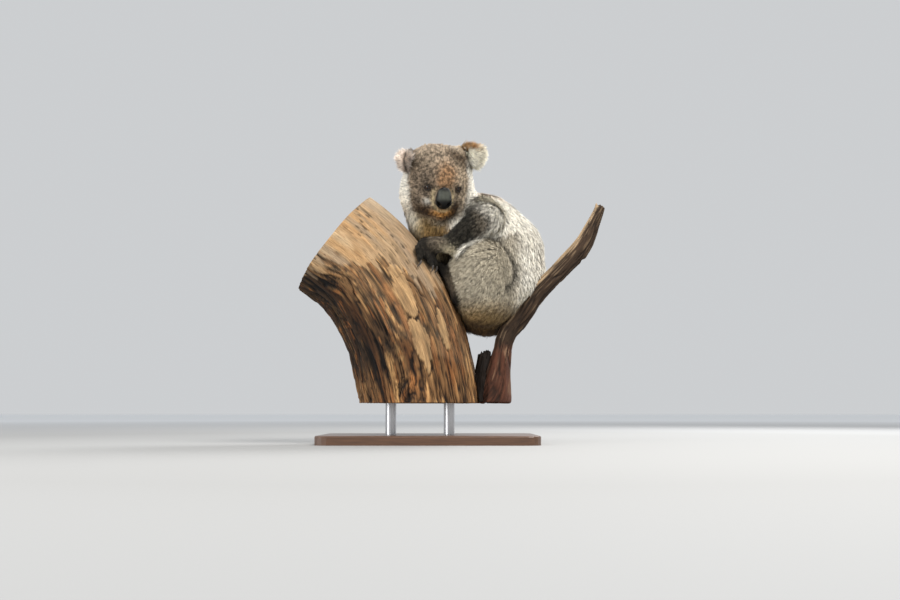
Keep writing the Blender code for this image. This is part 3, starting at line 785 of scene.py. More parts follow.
def head_markings(colours, h, shares, patchy):
    """A brown face, a paler crown, a grey nape, and white ruffs that join under the jaw."""
    x, y, z = h.T
    head = shares["head"]
    colours = paint(colours, FACE, head)
    colours = paint(colours, CROWN, head * ramp(z, 0.030, 0.066) * 0.8)
    nape = ramp(y - 0.3 * z + 0.012 * patchy, 0.012, 0.052)
    colours = paint(colours, BACK, head * nape * 0.85)
    collar = (shares["neck"] + shares["torso"]) * ramp(x, 0.010, 0.034)
    collar = collar * ramp(z, -0.090, -0.076) * ramp(y, 0.0, -0.02)
    white = np.clip(ruff_mask(h) + ramp(z, -0.068, -0.078), 0, 1)
    return paint(colours, WHITE, np.clip(head + collar, 0, 1) * white)


def face_markings(colours, h, shares, patchy):
    """A dark mask, a rusty forehead, dark cheeks, an orange chin, a straw rim to the nose, and painted light
    on the left cheek.
    """
    x, y, z = h.T
    head = shares["head"]
    mask = ramp(np.abs(x), 0.064, 0.050) * ramp(y, -0.005, -0.03)
    colours = paint(colours, MASK, head * mask * ramp(z, 0.045, 0.02) * 0.5)
    # Painted light: the left cheek, on the side the light comes from, is made paler.
    colours = paint(colours, LIT_CHEEK, head * ramp(x, 0.006, 0.036) * ramp(x, 0.056, 0.044) * 0.85)
    rust = spot(h, (0.009, -0.064, 0.028), (0.018, 0.030, 0.026))
    rust += spot(h, (0, -0.080, 0.014), (0.012, 0.02, 0.014))
    colours = paint(colours, RUST, head * np.clip(1.2 * rust, 0, 1) * (0.55 + 0.40 * patchy))
    beside = spot(h, (-0.038, -0.062, -0.054), (0.020, 0.028, 0.017))
    beside += spot(h, (0.027, -0.068, -0.043), (0.014, 0.024, 0.019))
    beside *= 1 - np.clip(ruff_mask(h), 0, 1)
    colours = paint(colours, UMBER, head * np.clip(1.5 * beside, 0, 1))
    colours = paint(colours, UMBER, head * spot(h, (-0.062, -0.036, 0.040), (0.012, 0.030, 0.024)) * 0.85)
    chin = spot(h, (0, -0.080, -0.050), (0.017, 0.03, 0.010))
    colours = paint(colours, CHIN, head * np.clip(1.3 * chin, 0, 1))
    colours = paint(colours, PALE, head * spot(h, (-0.031, -0.074, -0.028), (0.007, 0.02, 0.006)) * 0.8)
    off_nose = np.linalg.norm((h - NOSE_FRONT) / NOSE_HALF, axis=1)
    rim = np.exp(-(((off_nose - 1.22) / 0.20) ** 2)) * ramp(z, 0.008, -0.010) * ramp(y, -0.055, -0.070)
    rim *= 1 - np.clip(1.4 * beside, 0, 1)
    colours = paint(colours, STRAW, head * rim * 0.85)
    for side in (1, -1):
        around = spot(h, to_head(EYES[side]) + np.array([0, -0.008, 0]), (0.012, 0.02, 0.009))
        colours = paint(colours, UMBER, head * around * 0.75)
    return colours


# %% [markdown]
# The ears are not alike. The left one is seen from its furred inside, white at the rim and dark in
# the middle; its white is brighter than hair, a painted glow of light from behind. The right one
# shows its brown back with a pale rim. Dark hair marks where each ear leaves the head, and painted
# shade darkens the fold at the left ear's foot.

# %% Markings of the ears
EAR_BASE = (-0.044, 0.014, 0.046)  # from here the right ear's rim is measured


def ear_markings(colours, points, h, shares, normals):
    """The white left ear with a painted glow, the brown right ear, the dark hair where both leave the head,
    and painted shade at the left ear's foot.
    """
    x, _, z = h.T
    head = shares["head"]
    on_ear = np.clip(1.3 * shares["ear"], 0, 1)
    left, right = on_ear * (x > 0), on_ear * (x < 0)
    streaks = 0.5 + 0.8 * wander(points, (0.004, 0.004, 0.030), 12)
    inner = ramp(normals @ forward, -0.1, 0.4) * ramp(x, 0.062, 0.052) * ramp(z, 0.084, 0.070)
    colours = paint(colours, GREY, left)
    colours = paint(colours, UMBER, left * inner * streaks)
    # White rim of the left ear, painted brighter as a glow of light from behind.
    colours = paint(colours, EAR_WHITE_GLOW, left * np.clip(ramp(x, 0.056, 0.065) + ramp(z, 0.058, 0.050), 0, 1))
    colours = paint(colours, EAR_SAND, left * ramp(z, 0.070, 0.080) * ramp(x, 0.072, 0.058))
    base = on_head(*EAR_BASE)
    outward = (points - base) @ unit(middle("ear_right") - base)
    colours = paint(colours, EAR_BROWN, right)
    colours = paint(colours, UMBER, right * np.clip(streaks, 0, 1) * 0.55)
    colours = paint(colours, EAR_RIM, right * ramp(outward, 0.019, 0.028))
    for side, strength in ((1, 0.9), (-1, 0.3)):
        root = near_path(h, [(side * 0.014, -0.034, 0.074), (side * 0.046, -0.026, 0.044)], 0.0115, 0.4)
        colours = paint(colours, UMBER, head * root * strength)
    # Dark hair and painted shade in the fold at the left ear's foot.
    inside_ear = near_path(h, [(0.044, -0.026, 0.060), (0.058, -0.015, 0.064)], 0.0090, 0.4)
    colours = paint(colours, UMBER, np.clip(head + shares["ear"], 0, 1) * inside_ear * 0.75)
    beside_ear = spot(h, (0.026, -0.010, 0.092), (0.012, 0.030, 0.012)) * head
    return paint(colours, PALE, beside_ear * 0.8)


# %% [markdown]
# All markings are now laid over each other, made a little uneven by two sizes of noise, and kept in
# the skin. Mottle says how strongly dark spots may mark a place, partly darker hair and partly
# painted shade between clumps: much on the arms, less on pale hair.


# %% Colours of the coat
def markings(points, shares, normals):
    """A colour for each point of the skin, from where it lies on the animal."""
    h = to_head(points)
    patchy = 0.5 + 0.5 * wander(points, 0.020, 11)
    colours = np.repeat(GREY[None, :], len(points), axis=0)
    colours = body_markings(colours, points, shares, patchy)
    for lay in (arm_markings, fold_shadows, paw_markings, belly_markings, foot_markings, breast_markings):
        colours = lay(colours, points, shares)
    colours = head_markings(colours, h, shares, patchy)
    colours = face_markings(colours, h, shares, patchy)
    colours = ear_markings(colours, points, h, shares, normals)
    return np.clip(colours, 0, 1)


normals = normals_of(skin_mesh)
coat_colours = markings(points, share_of, normals)
coat_colours *= (1 + 0.16 * wander(points, 0.009, 21) + 0.10 * wander(points, 0.030, 22))[:, None]
coat_colours = paint(coat_colours, LID, np.maximum(rim_mask, opening_mask))
store(skin_mesh, "coat_colour", np.c_[coat_colours, np.ones(len(points))], "FLOAT_COLOR")

on_arm = np.clip(share_of["upper_arm"] + 0.6 * share_of["forearm"], 0, 1)
brightness = coat_colours.mean(axis=1)
mottle = 0.42 + 0.53 * on_arm + 0.25 * share_of["head"] * near_face
mottle *= 1 - 0.45 * ramp(brightness, 0.26, 0.42)
mottle *= 1 - 0.7 * ramp(brightness, 0.50, 0.72)
store(skin_mesh, "mottle", mottle)
print("mean coat colour", coat_colours.mean(0).round(3))

# %% [markdown]
# ## An unwrap of the skin
#
# An unwrap lays a surface out on a flat square, so that its finish can be baked there. Unwrapping half
# a million locks one by one would give each a fleck smaller than a dot of the map. Every lock keeps
# its colour on a small patch of the skin's own map instead, at the place of its root. The skin's
# faces are sorted by body part and by the way they face, each group is laid flat, and the flat
# charts are set side by side in rows.


# %% Unwrap
CHART_MARGIN = 0.002  # the free edge round each chart, as a share of the map


def chart_layout(sizes):
    """Places for rectangles in rows inside the unit square, and the scale at which they all fit."""
    order = sorted(range(len(sizes)), key=lambda i: -sizes[i][1])
    scale = 1.3 / math.sqrt(sum(w * h for w, h in sizes))
    while True:
        places, x, y, row = {}, 0.0, 0.0, 0.0
        for i in order:
            w, h = (side * scale + 2 * CHART_MARGIN for side in sizes[i])
            if x + w > 1:
                x, y, row = 0.0, y + row, 0.0
            places[i] = (x + CHART_MARGIN, y + CHART_MARGIN)
            x, row = x + w, max(row, h)
        if y + row <= 1 and max(s[0] for s in sizes) * scale < 0.99:
            return places, scale
        scale *= 0.97


def unwrap(mesh, groups, facing):
    """Writes the map OFBake: one flat chart for each group of faces that look the same way."""
    loops = np.empty(len(mesh.loops), np.int32)
    mesh.loops.foreach_get("vertex_index", loops)
    totals = np.empty(len(mesh.polygons), np.int32)
    mesh.polygons.foreach_get("loop_total", totals)
    starts = np.r_[0, np.cumsum(totals)[:-1]]
    first = loops[starts]
    axis = np.argmax(np.abs(facing[first]), axis=1)
    sign = (np.take_along_axis(facing[first], axis[:, None], 1)[:, 0] > 0).astype(int)
    chart = groups[first] * 6 + axis * 2 + sign
    corner_chart = np.repeat(chart, totals)
    corner_axis = np.repeat(axis, totals)
    corners = points_of(mesh)[loops]
    flat = np.where((corner_axis == 1)[:, None], corners[:, [0, 2]], corners[:, [0, 1]])
    flat = np.where((corner_axis == 0)[:, None], corners[:, [1, 2]], flat)
    ids = np.unique(corner_chart)
    lows = [flat[corner_chart == c].min(0) for c in ids]
    sizes = [tuple(flat[corner_chart == c].max(0) - low) for c, low in zip(ids, lows)]
    places, scale = chart_layout(sizes)
    uv = np.zeros_like(flat)
    for i, (c, low) in enumerate(zip(ids, lows)):
        mine = corner_chart == c
        uv[mine] = (flat[mine] - low) * scale + np.array(places[i])
    layer = mesh.uv_layers.new(name="OFBake")
    layer.data.foreach_set("uv", uv.ravel())
    return uv, scale


edges = edges_of(skin_mesh)
group = np.argmax(np.stack([share_of[k] for k in KINDS], axis=1), axis=1)
root_uv, uv_scale = unwrap(skin_mesh, group, blur(normals, edges, 12))
store(skin_mesh, "root_uv", root_uv, "FLOAT2", "CORNER")
print("one metre of skin is", round(uv_scale, 3), "of the map")

# %% [markdown]
# ## Building node trees by script
#
# Shader trees and geometry trees are both lists of nodes with links. They are usually drawn by hand in
# the node editor, but a written tree can be read from top to bottom and made again. One helper adds
# a node, sets its options and fills its inputs: a socket is linked, and anything else becomes the
# input's value.


# %% Node helper
def add(tree, kind, inputs=None, **settings):
    """A new node with its options set and its inputs linked or filled."""
    node = tree.nodes.new(kind)
    for key, value in settings.items():
        setattr(node, key, value)
    for key, value in (inputs or {}).items():
        socket = node.inputs[key]
        if isinstance(value, bpy.types.NodeSocket):
            tree.links.new(value, socket)
        else:
            socket.default_value = value
    return node


def live(sockets, name):
    """The socket of that name that the node's present options switch on."""
    return next(s for s in sockets if s.name == name and s.enabled)


def new_material(name, roughness=0.5, **sockets):
    """A material with one Principled shader; plain values go straight onto its own sockets."""
    made = bpy.data.materials.new(name)
    made.use_nodes = True
    shader = made.node_tree.nodes["Principled BSDF"]
    shader.inputs["Roughness"].default_value = roughness
    for key, value in sockets.items():
        shader.inputs[key.replace("_", " ")].default_value = value
    return made, made.node_tree, shader


def attribute(tree, name, output="Fac"):
    """What the mesh keeps under a name, as a number, a colour or a vector."""
    return add(tree, "ShaderNodeAttribute", attribute_name=name).outputs[output]


def maths(tree, operation, *values):
    """A sum or other operation on numbers."""
    return add(tree, "ShaderNodeMath", dict(enumerate(values)), operation=operation).outputs[0]


def scaled(tree, vector, factor):
    """A vector made longer or shorter, or a colour made lighter or darker, by a factor."""
    return add(tree, "ShaderNodeVectorMath", {0: vector, "Scale": factor}, operation="SCALE").outputs[0]


def object_noise(tree, scale, detail=3.0, stretch=(1, 1, 1), roughness=0.5):
    """Noise laid out in the object's own metres."""
    place = add(tree, "ShaderNodeTexCoord").outputs["Object"]
    place = add(tree, "ShaderNodeMapping", {"Vector": place, "Scale": stretch}).outputs[0]
    inputs = {"Vector": place, "Scale": scale, "Detail": detail, "Roughness": roughness}
    return add(tree, "ShaderNodeTexNoise", inputs).outputs["Fac"]


def between(tree, value, low, high, out_low, out_high):
    """A value moved from one range to another, and kept inside it."""
    inputs = {"Value": value, "From Min": low, "From Max": high, "To Min": out_low, "To Max": out_high}
    return add(tree, "ShaderNodeMapRange", inputs).outputs[0]


def mixed(tree, factor, first, second):
    """One colour at 0 and another at 1; each is a tone or a socket."""
    ends = [end if isinstance(end, bpy.types.NodeSocket) else (*end, 1) for end in (first, second)]
    return add(tree, "ShaderNodeMix", {0: factor, 6: ends[0], 7: ends[1]}, data_type="RGBA").outputs[2]


def bumped(tree, shader, height, strength, distance):
    """Lets the light see a height of at most the given distance in metres."""
    node = add(tree, "ShaderNodeBump", {"Height": height, "Strength": strength, "Distance": distance})
    tree.links.new(node.outputs[0], shader.inputs["Normal"])


# %% [markdown]
# ## The undercoat
#
# Under the outer hair a koala has a dense woolly undercoat. Locks close enough to hide the skin
# everywhere would need many more triangles. The skin therefore carries the coat's markings itself,
# a little darker, with a fine nap as bump, so that no bare spot glares through.


# %% Skin material and object
def undercoat():
    made, tree, shader = new_material("undercoat", 0.9)
    shade = between(tree, object_noise(tree, 260, 4), 0.3, 0.7, 0.42, 0.85)
    tree.links.new(scaled(tree, attribute(tree, "coat_colour", "Color"), shade), shader.inputs["Base Color"])
    bumped(tree, shader, object_noise(tree, 900, 2), 0.6, 0.0008)
    return made


skin_mesh.materials.clear()
skin_mesh.materials.append(undercoat())
shade_smooth(skin_mesh)
skin = new_object("koala_skin", skin_mesh)
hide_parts(*FLESH)
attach(skin, "root")
print("skin:", sum(len(p.vertices) - 2 for p in skin_mesh.polygons), "triangles")

# %% [markdown]
# ## One lock of fur
#
# Hairs stand together in small pointed locks. A strand for every hair would need millions of
# triangles, and strands aren't solid enough to export. One lock is therefore a narrow blade of three
# triangles. It leaves its root upright, widens a little and bends over to a point. X is off the
# skin, Y across and Z along, and the length and the width are 1 until the tree scales them.

# %% The lock
LOCK_BEND, LOCK_BULGE, LOCK_RIDGE = 0.34, 0.12, 0.05
LOCK_STATIONS = [(-0.42, 0.0), (0.42, 0.0), (-0.5, 0.5), (0.5, 0.5), (0.0, 1.0)]  # across and along
LOCK_FACES = [(0, 1, 3), (0, 3, 2), (2, 3, 4)]


def lock_place(across, along):
    """Where a point of the blade stands; towards the middle of the blade it is raised."""
    off = LOCK_RIDGE * (1 - 2 * abs(across)) + LOCK_BULGE * math.sin(math.pi * along)
    return (off - LOCK_BEND * along**2, across, along)


lock_mesh = bpy.data.meshes.new("lock")
lock_mesh.from_pydata([lock_place(*station) for station in LOCK_STATIONS], [], LOCK_FACES)
store(lock_mesh, "tip", [along for _, along in LOCK_STATIONS])
store(lock_mesh, "lock_uv", [(across + 0.5, along) for across, along in LOCK_STATIONS], "FLOAT2")
LOCK = new_object("lock", lock_mesh)
print("a lock has", len(LOCK_FACES), "triangles")

# %% [markdown]
# ## The coat, by Geometry Nodes
#
# Half a million locks follow a few rules, so a tree of nodes makes them all. It scatters roots over
# one zone of the skin and turns a lock along the lie at each root. It gathers neighbouring tips into
# small clumps, and Voronoi cells give each clump its middle. Then it makes the instances real and
# keeps the root's place on the flat map for the whole lock.


# %% The coat tree
# Lengths and widths are shares of the usual ones, rise is from 0, flat, to 1, upright, and the clump
# size is in metres.
COAT_INPUTS = {
    "Lock": "NodeSocketObject",
    "Zone": "NodeSocketInt",
    "Density": "NodeSocketFloat",
    "Seed": "NodeSocketInt",
    "Length": "NodeSocketFloat",
    "Width": "NodeSocketFloat",
    "Rise": "NodeSocketFloat",
    "Stray": "NodeSocketFloat",
    "Clump Size": "NodeSocketFloat",
    "Clump": "NodeSocketFloat",
    "Material": "NodeSocketMaterial",
}
PATCH = 0.003  # how much of the map one lock covers
SHORTEST, LONGEST = 0.72, 1.18  # how uneven the locks are, as shares of the coat's length
WIDTH_SHARE, WIDTH_LEAST = 0.085, 0.00065  # a lock's width: a share of its length and a bit more


def named(tree, name, kind):
    """What the skin keeps under a name."""
    node = add(tree, "GeometryNodeInputNamedAttribute", {"Name": name}, data_type=kind)
    return live(node.outputs, "Attribute")


def vectors(tree, operation, *values):
    """A sum or other operation on vectors."""
    node = add(tree, "ShaderNodeVectorMath", dict(enumerate(values)), operation=operation)
    return node.outputs[0]


def kept(tree, geometry, name, value, kind, domain):
    """The geometry with a value kept under a name."""
    node = add(tree, "GeometryNodeStoreNamedAttribute", {"Geometry": geometry, "Name": name}, data_type=kind)
    node.domain = domain
    tree.links.new(value, live(node.inputs, "Value"))
    return node.outputs[0]


def chance_between(tree, low, high, seed):
    """A fixed random number for each root."""
    return add(tree, "FunctionNodeRandomValue", {2: low, 3: high, "Seed": seed}, data_type="FLOAT").outputs[1]


def scattered_roots(tree, given):
    """Points on one zone of the skin, closer together where fur_density is high, and their normals."""
    both = {2: named(tree, "zone", "INT"), 3: given["Zone"]}
    in_zone = add(tree, "FunctionNodeCompare", both, data_type="INT", operation="EQUAL").outputs[0]
    density = maths(tree, "MULTIPLY", given["Density"], named(tree, "fur_density", "FLOAT"))
    inputs = {"Mesh": given["Skin"], "Selection": in_zone, "Density": density, "Seed": given["Seed"]}
    roots = add(tree, "GeometryNodeDistributePointsOnFaces", inputs, distribute_method="RANDOM")
    return roots.outputs["Points"], roots.outputs["Normal"]


def lock_way(tree, given, normal, length):
    """Along the lie, a little off the skin, towards the clump's middle, and a little astray."""
    flat = maths(tree, "SUBTRACT", 1.0, given["Rise"])
    along = scaled(tree, named(tree, "lie", "FLOAT_VECTOR"), flat)
    off = scaled(tree, normal, given["Rise"])
    place = add(tree, "GeometryNodeInputPosition").outputs[0]
    cells = add(tree, "ShaderNodeTexVoronoi", {"Vector": place}, voronoi_dimensions="3D", feature="F1")
    tree.links.new(maths(tree, "DIVIDE", 1.0, given["Clump Size"]), cells.inputs["Scale"])
    pull = vectors(tree, "SUBTRACT", cells.outputs["Position"], place)
    pull = scaled(tree, pull, maths(tree, "DIVIDE", given["Clump"], length))
    any_way = {0: (-1, -1, -1), 1: (1, 1, 1), "Seed": 2}
    stray = add(tree, "FunctionNodeRandomValue", any_way, data_type="FLOAT_VECTOR").outputs[0]
    stray = scaled(tree, stray, given["Stray"])
    return vectors(tree, "ADD", vectors(tree, "ADD", along, off), vectors(tree, "ADD", pull, stray))


def coat_tree():
    tree = bpy.data.node_groups.new("coat", "GeometryNodeTree")
    tree.interface.new_socket("Skin", in_out="INPUT", socket_type="NodeSocketGeometry")
    for label, kind in COAT_INPUTS.items():
        tree.interface.new_socket(label, in_out="INPUT", socket_type=kind)
    tree.interface.new_socket("Coat", in_out="OUTPUT", socket_type="NodeSocketGeometry")
    given = tree.nodes.new("NodeGroupInput").outputs

    points, normal = scattered_roots(tree, given)
    length = maths(tree, "MULTIPLY", named(tree, "fur_length", "FLOAT"), given["Length"])
    length = maths(tree, "MULTIPLY", length, chance_between(tree, SHORTEST, LONGEST, 1))
    width = maths(tree, "MULTIPLY_ADD", length, WIDTH_SHARE, WIDTH_LEAST)
    width = maths(tree, "MULTIPLY", given["Width"], width)
    size = add(tree, "ShaderNodeCombineXYZ", {0: length, 1: width, 2: length}).outputs[0]
    axes = {"Primary Axis": lock_way(tree, given, normal, length), "Secondary Axis": normal}
    turn = add(tree, "FunctionNodeAxesToRotation", axes, primary_axis="Z", secondary_axis="X").outputs[0]

    points = kept(tree, points, "skin_normal", normal, "FLOAT_VECTOR", "POINT")
    points = kept(tree, points, "lock_shade", chance_between(tree, 0.0, 1.0, 3), "FLOAT", "POINT")
    blade = add(tree, "GeometryNodeObjectInfo", {"Object": given["Lock"]}).outputs["Geometry"]
    placed = {"Points": points, "Instance": blade, "Rotation": turn, "Scale": size}
    locks = add(tree, "GeometryNodeInstanceOnPoints", placed).outputs[0]
    real = add(tree, "GeometryNodeRealizeInstances", {"Geometry": locks}).outputs[0]
    patch = vectors(tree, "SUBTRACT", named(tree, "lock_uv", "FLOAT_VECTOR"), (0.5, 0.5, 0.0))
    patch = vectors(tree, "ADD", named(tree, "root_uv", "FLOAT_VECTOR"), scaled(tree, patch, PATCH))
    real = kept(tree, real, "OFBake", patch, "FLOAT2", "CORNER")
    real = add(tree, "GeometryNodeSetMaterial", {"Geometry": real, "Material": given["Material"]}).outputs[0]
    tree.links.new(real, tree.nodes.new("NodeGroupOutput").inputs[0])
    return tree


COAT = coat_tree()
print("coat tree:", len(COAT.nodes), "nodes")

# %% [markdown]
# ## Zones and how close the locks stand
#
# One mesh with the whole coat would be too heavy to handle, so it is made in zones, each with pieces
# of its own. The nose and the eye openings are bare on a koala and get no roots. The lids and the
# crease of the thigh get only a few.

# %% Zones
ZONES = {
    "face": ["head"],
    "ear": ["ear"],
    "body": ["neck", "torso"],
    "arm": ["upper_arm", "forearm"],
    "leg": ["thigh", "shank"],
    "paw": ["hand", "foot"],
}
LID_HAIR = 0.35  # how close the locks stand on the lids, as a share
NOSE_BARE = np.array([0.0180, 0.05, 0.0245])

fur_density = ramp(np.linalg.norm((to_head(points) - NOSE_FRONT) / NOSE_BARE, axis=1), 0.95, 1.08)
fur_density *= 1 - np.maximum(opening_mask, rim_mask)
for side in (1, -1):
    from_eye = np.linalg.norm(points - EYES[side], axis=1)
    fur_density *= LID_HAIR + (1 - LID_HAIR) * ramp(from_eye, EYE_RADIUS * 1.15, EYE_RADIUS * 1.5)
fur_density *= 1 - 0.7 * near_path(points, CREASE, 0.004, 0.3)
store(skin_mesh, "fur_density", fur_density)

zone_number = {k: i for i, kinds in enumerate(ZONES.values()) for k in kinds}
zone_of_group = np.array([zone_number[k] for k in KINDS])
first_corner = np.empty(len(skin_mesh.polygons), np.int32)
skin_mesh.polygons.foreach_get("loop_start", first_corner)
corner_point = np.empty(len(skin_mesh.loops), np.int32)
skin_mesh.loops.foreach_get("vertex_index", corner_point)
first_point = corner_point[first_corner]
face_zone = zone_of_group[group[first_point]]
store(skin_mesh, "zone", face_zone, "INT", "FACE")
areas = np.empty(len(skin_mesh.polygons), np.float32)
skin_mesh.polygons.foreach_get("area", areas)
furred = areas * fur_density[first_point]
zone_area = {zone: float(furred[face_zone == i].sum()) for i, zone in enumerate(ZONES)}
print("furred area in square metres:", {zone: round(area, 4) for zone, area in zone_area.items()})

# %% [markdown]
# ## The look of the locks
#
# A koala's hair is banded: dark at the root, pale at the tip, and some hairs are dark all through,
# which gives the grizzled grey. One plain colour would look like felt. Each lock therefore gets a
# random shade besides its marking, its colour lightens from root to tip, and noise makes dark spots,
# partly dark tufts and partly painted shade between clumps.

# %% Fur material
GRIZZLE = {0.0: 0.40, 0.20: 0.64, 0.34: 0.98, 1.0: 1.20}  # a lock's random number, and its brightness


def fur_material():
    made, tree, shader = new_material("koala fur", 0.85, Specular_IOR_Level=0.15, Sheen_Weight=0.06)
    shader.inputs["Sheen Roughness"].default_value = 0.6
    tip = between(tree, attribute(tree, "tip"), 0.0, 1.0, 0.50, 1.14)
    grizzle = add(tree, "ShaderNodeValToRGB", {"Fac": attribute(tree, "lock_shade")})
    stops = grizzle.color_ramp.elements
    while len(stops) < len(GRIZZLE):
        stops.new(0.5)
    for stop, (position, brightness) in zip(stops, GRIZZLE.items()):
        stop.position, stop.color = position, (brightness, brightness, brightness, 1)
    mottled = between(tree, object_noise(tree, 110, 3), 0.3, 0.7, 0.80, 1.16)
    # Dark spots: partly darker tufts, partly painted shade between clumps.
    spots = between(tree, object_noise(tree, 150, 2), 0.40, 0.60, -0.45, 0.85)
    spots = maths(tree, "MULTIPLY", spots, attribute(tree, "mottle"))
    mottled = maths(tree, "MULTIPLY", mottled, maths(tree, "SUBTRACT", 1.0, spots))
    shade = maths(tree, "MULTIPLY", maths(tree, "MULTIPLY", tip, grizzle.outputs[0]), mottled)
    tree.links.new(scaled(tree, attribute(tree, "coat_colour", "Color"), shade), shader.inputs["Base Color"])
    return made


FUR = fur_material()
LOCK.data.materials.append(FUR)


# %% [markdown]
# A real coat has woolly hair below and longer guard hair above. One layer of locks would be either
# bald or stiff, so each zone gets a wide, raised layer below and finer, flatter ones over it. A layer
# is the tree run once and turned into a plain mesh. Its shading normals lean towards the skin's, so
# that the locks shade as one soft pile and not as thousands of little blades.

# %% Grow the coat
SOFTNESS = 0.62  # how far a lock's shading follows the skin
USUAL = {"Length": 1.0, "Width": 1.0, "Rise": 0.45, "Stray": 0.12, "Clump Size": 0.009, "Clump": 0.35}
KEPT_DATA = {"coat_colour", "mottle", "tip", "lock_shade", "OFBake", "position", "material_index"}
KEPT_DATA |= {".corner_vert", ".corner_edge", ".edge_verts"}


def coat_layer(name, zone, count, seed, **options):
    """One piece of coat with about count locks; options change the usual values of the tree."""
    settings = dict(USUAL)
    settings.update({key.title(): value for key, value in options.items()})
    settings.update({"Lock": LOCK, "Zone": list(ZONES).index(zone), "Seed": seed, "Material": FUR})
    settings["Density"] = count / zone_area[zone]
    grown = new_object(name, skin_mesh)
    modifier = grown.modifiers.new("coat", "NODES")
    modifier.node_group = COAT
    for socket in COAT.interface.items_tree:
        if socket.in_out == "INPUT" and socket.name in settings:
            modifier[socket.identifier] = settings[socket.name]
    mesh = evaluated(grown, name)
    own = normals_of(mesh)
    soft = np.empty(len(mesh.vertices) * 3, np.float32)
    mesh.attributes["skin_normal"].data.foreach_get("vector", soft)
    blended = unit(own * (1 - SOFTNESS) + soft.reshape(-1, 3) * SOFTNESS)
    for extra in [a.name for a in mesh.attributes if a.name not in KEPT_DATA and not a.is_internal]:
        mesh.attributes.remove(mesh.attributes[extra])
    mesh.normals_split_custom_set_from_vertices(blended)
    piece = new_object(name, mesh)
    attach(piece, "root")
    print(name, len(mesh.polygons), "triangles, maps", [m.name for m in mesh.uv_layers])


coat_layer("coat_body_under", "body", 50000, 11, length=0.85, rise=0.44, width=1.1)
coat_layer("coat_body_middle", "body", 50000, 12, width=0.68, rise=0.34)
coat_layer("coat_body_over", "body", 54000, 13, length=1.12, rise=0.26, clump=0.5, width=0.60)
coat_layer("coat_legs_under", "leg", 25000, 21, length=0.85, rise=0.55, width=1.1)
coat_layer("coat_legs_over", "leg", 42000, 22, length=1.1, rise=0.40, clump=0.45, width=0.62)
coat_layer("coat_arms_under", "arm", 22000, 31, length=0.9, rise=0.5)
coat_layer("coat_arms_over", "arm", 34000, 32, length=1.0, rise=0.40, clump=0.8, stray=0.18, width=0.66)
coat_layer("coat_paws", "paw", 30000, 41, rise=0.30)
coat_layer("coat_ears", "ear", 32000, 51, length=1.15, rise=0.25, stray=0.20, width=0.58, clump=0.6)
coat_layer("coat_head_under", "face", 52000, 61, rise=0.35, length=0.9, width=0.80)
coat_layer("coat_head_middle", "face", 54000, 62, rise=0.30, width=0.74)
coat_layer("coat_head_over", "face", 50000, 63, length=1.15, rise=0.23, width=0.70, clump=0.5)
bpy.data.objects.remove(LOCK)

# %% [markdown]
# ## Eyes
#
# A koala's eye is small and brown, with an upright slit for a pupil. A painted map could be laid on
# it, but rings and slits are simple sums. Each ball is a finely cut sphere with a slight bulge for the
# cornea, and it stores how far each point lies from the middle of the gaze. From these two numbers a
# few shader nodes draw the iris, its dark edge and the pupil.


# %% Eyeballs
PUPIL_WIDE, PUPIL_HIGH = 0.16, 0.52  # half the slit, in eye radii
GAZE_TURN = math.radians(20)
CORNEA = 0.06  # how far the cornea bulges, in eye radii
OFF_GAZE = 2.0  # what the back of the ball stores: outside everything that is drawn


def eye_material():
    glassy = {"Specular_IOR_Level": 0.3, "Coat_Weight": 0.3, "Coat_Roughness": 0.02}
    made, tree, shader = new_material("eye", 0.05, **glassy)
    across, high = attribute(tree, "gaze_across"), attribute(tree, "gaze_high")

    def squares(wide, tall):
        """The sum of both squares, each distance counted in its own unit."""
        first = maths(tree, "POWER", maths(tree, "DIVIDE", across, wide), 2.0)
        return maths(tree, "ADD", first, maths(tree, "POWER", maths(tree, "DIVIDE", high, tall), 2.0))

    out = maths(tree, "SQRT", squares(1.0, 1.0))
    streaks = add(tree, "ShaderNodeTexNoise", {"Scale": 1400.0, "Detail": 3.0}).outputs["Fac"]
    iris = mixed(tree, streaks, tone(30, 19, 11), tone(66, 42, 24))
    edged = mixed(tree, between(tree, out, 0.56, 0.74, 0.0, 1.0), iris, tone(20, 14, 12))
    off_slit = between(tree, squares(PUPIL_WIDE, PUPIL_HIGH), 0.85, 1.15, 0.0, 1.0)
    tree.links.new(mixed(tree, off_slit, (0.002, 0.002, 0.002), edged), shader.inputs["Base Color"])
    return made


EYE = eye_material()


def eyeball(side):
    """A ball with a cornea, looking a little aside, in place of the solid eye."""
    turn = GAZE_TURN * side
    outward = np.array([math.sin(turn), -math.cos(turn), 0.0]) @ HEAD_AXES
    across = unit(np.cross(upward, outward))
    high = np.cross(outward, across)
    bm = bmesh.new()
    bmesh.ops.create_uvsphere(bm, u_segments=40, v_segments=28, radius=1.0)
    mesh = bpy.data.meshes.new("eye")
    bm.to_mesh(mesh)
    bm.free()
    ball = points_of(mesh)
    bulge = 1 + CORNEA * ramp(ball[:, 2], 0.80, 1.0)
    turned = ball[:, :1] * across + ball[:, 1:2] * high + ball[:, 2:] * outward
    move_points(mesh, turned * bulge[:, None] * EYE_RADIUS + EYES[side])
    front = ball[:, 2] > 0
    store(mesh, "gaze_across", np.where(front, ball[:, 0], OFF_GAZE))
    store(mesh, "gaze_high", np.where(front, ball[:, 1], OFF_GAZE))
    mesh.materials.append(EYE)
    name = "left" if side == 1 else "right"
    piece = new_object("eyeball_" + name, shade_smooth(mesh))
    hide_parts("eye_" + name)
    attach(piece, "root")


for side in (1, -1):
    eyeball(side)
print("eyes", round(EYE_RADIUS * 2000, 1), "mm across")

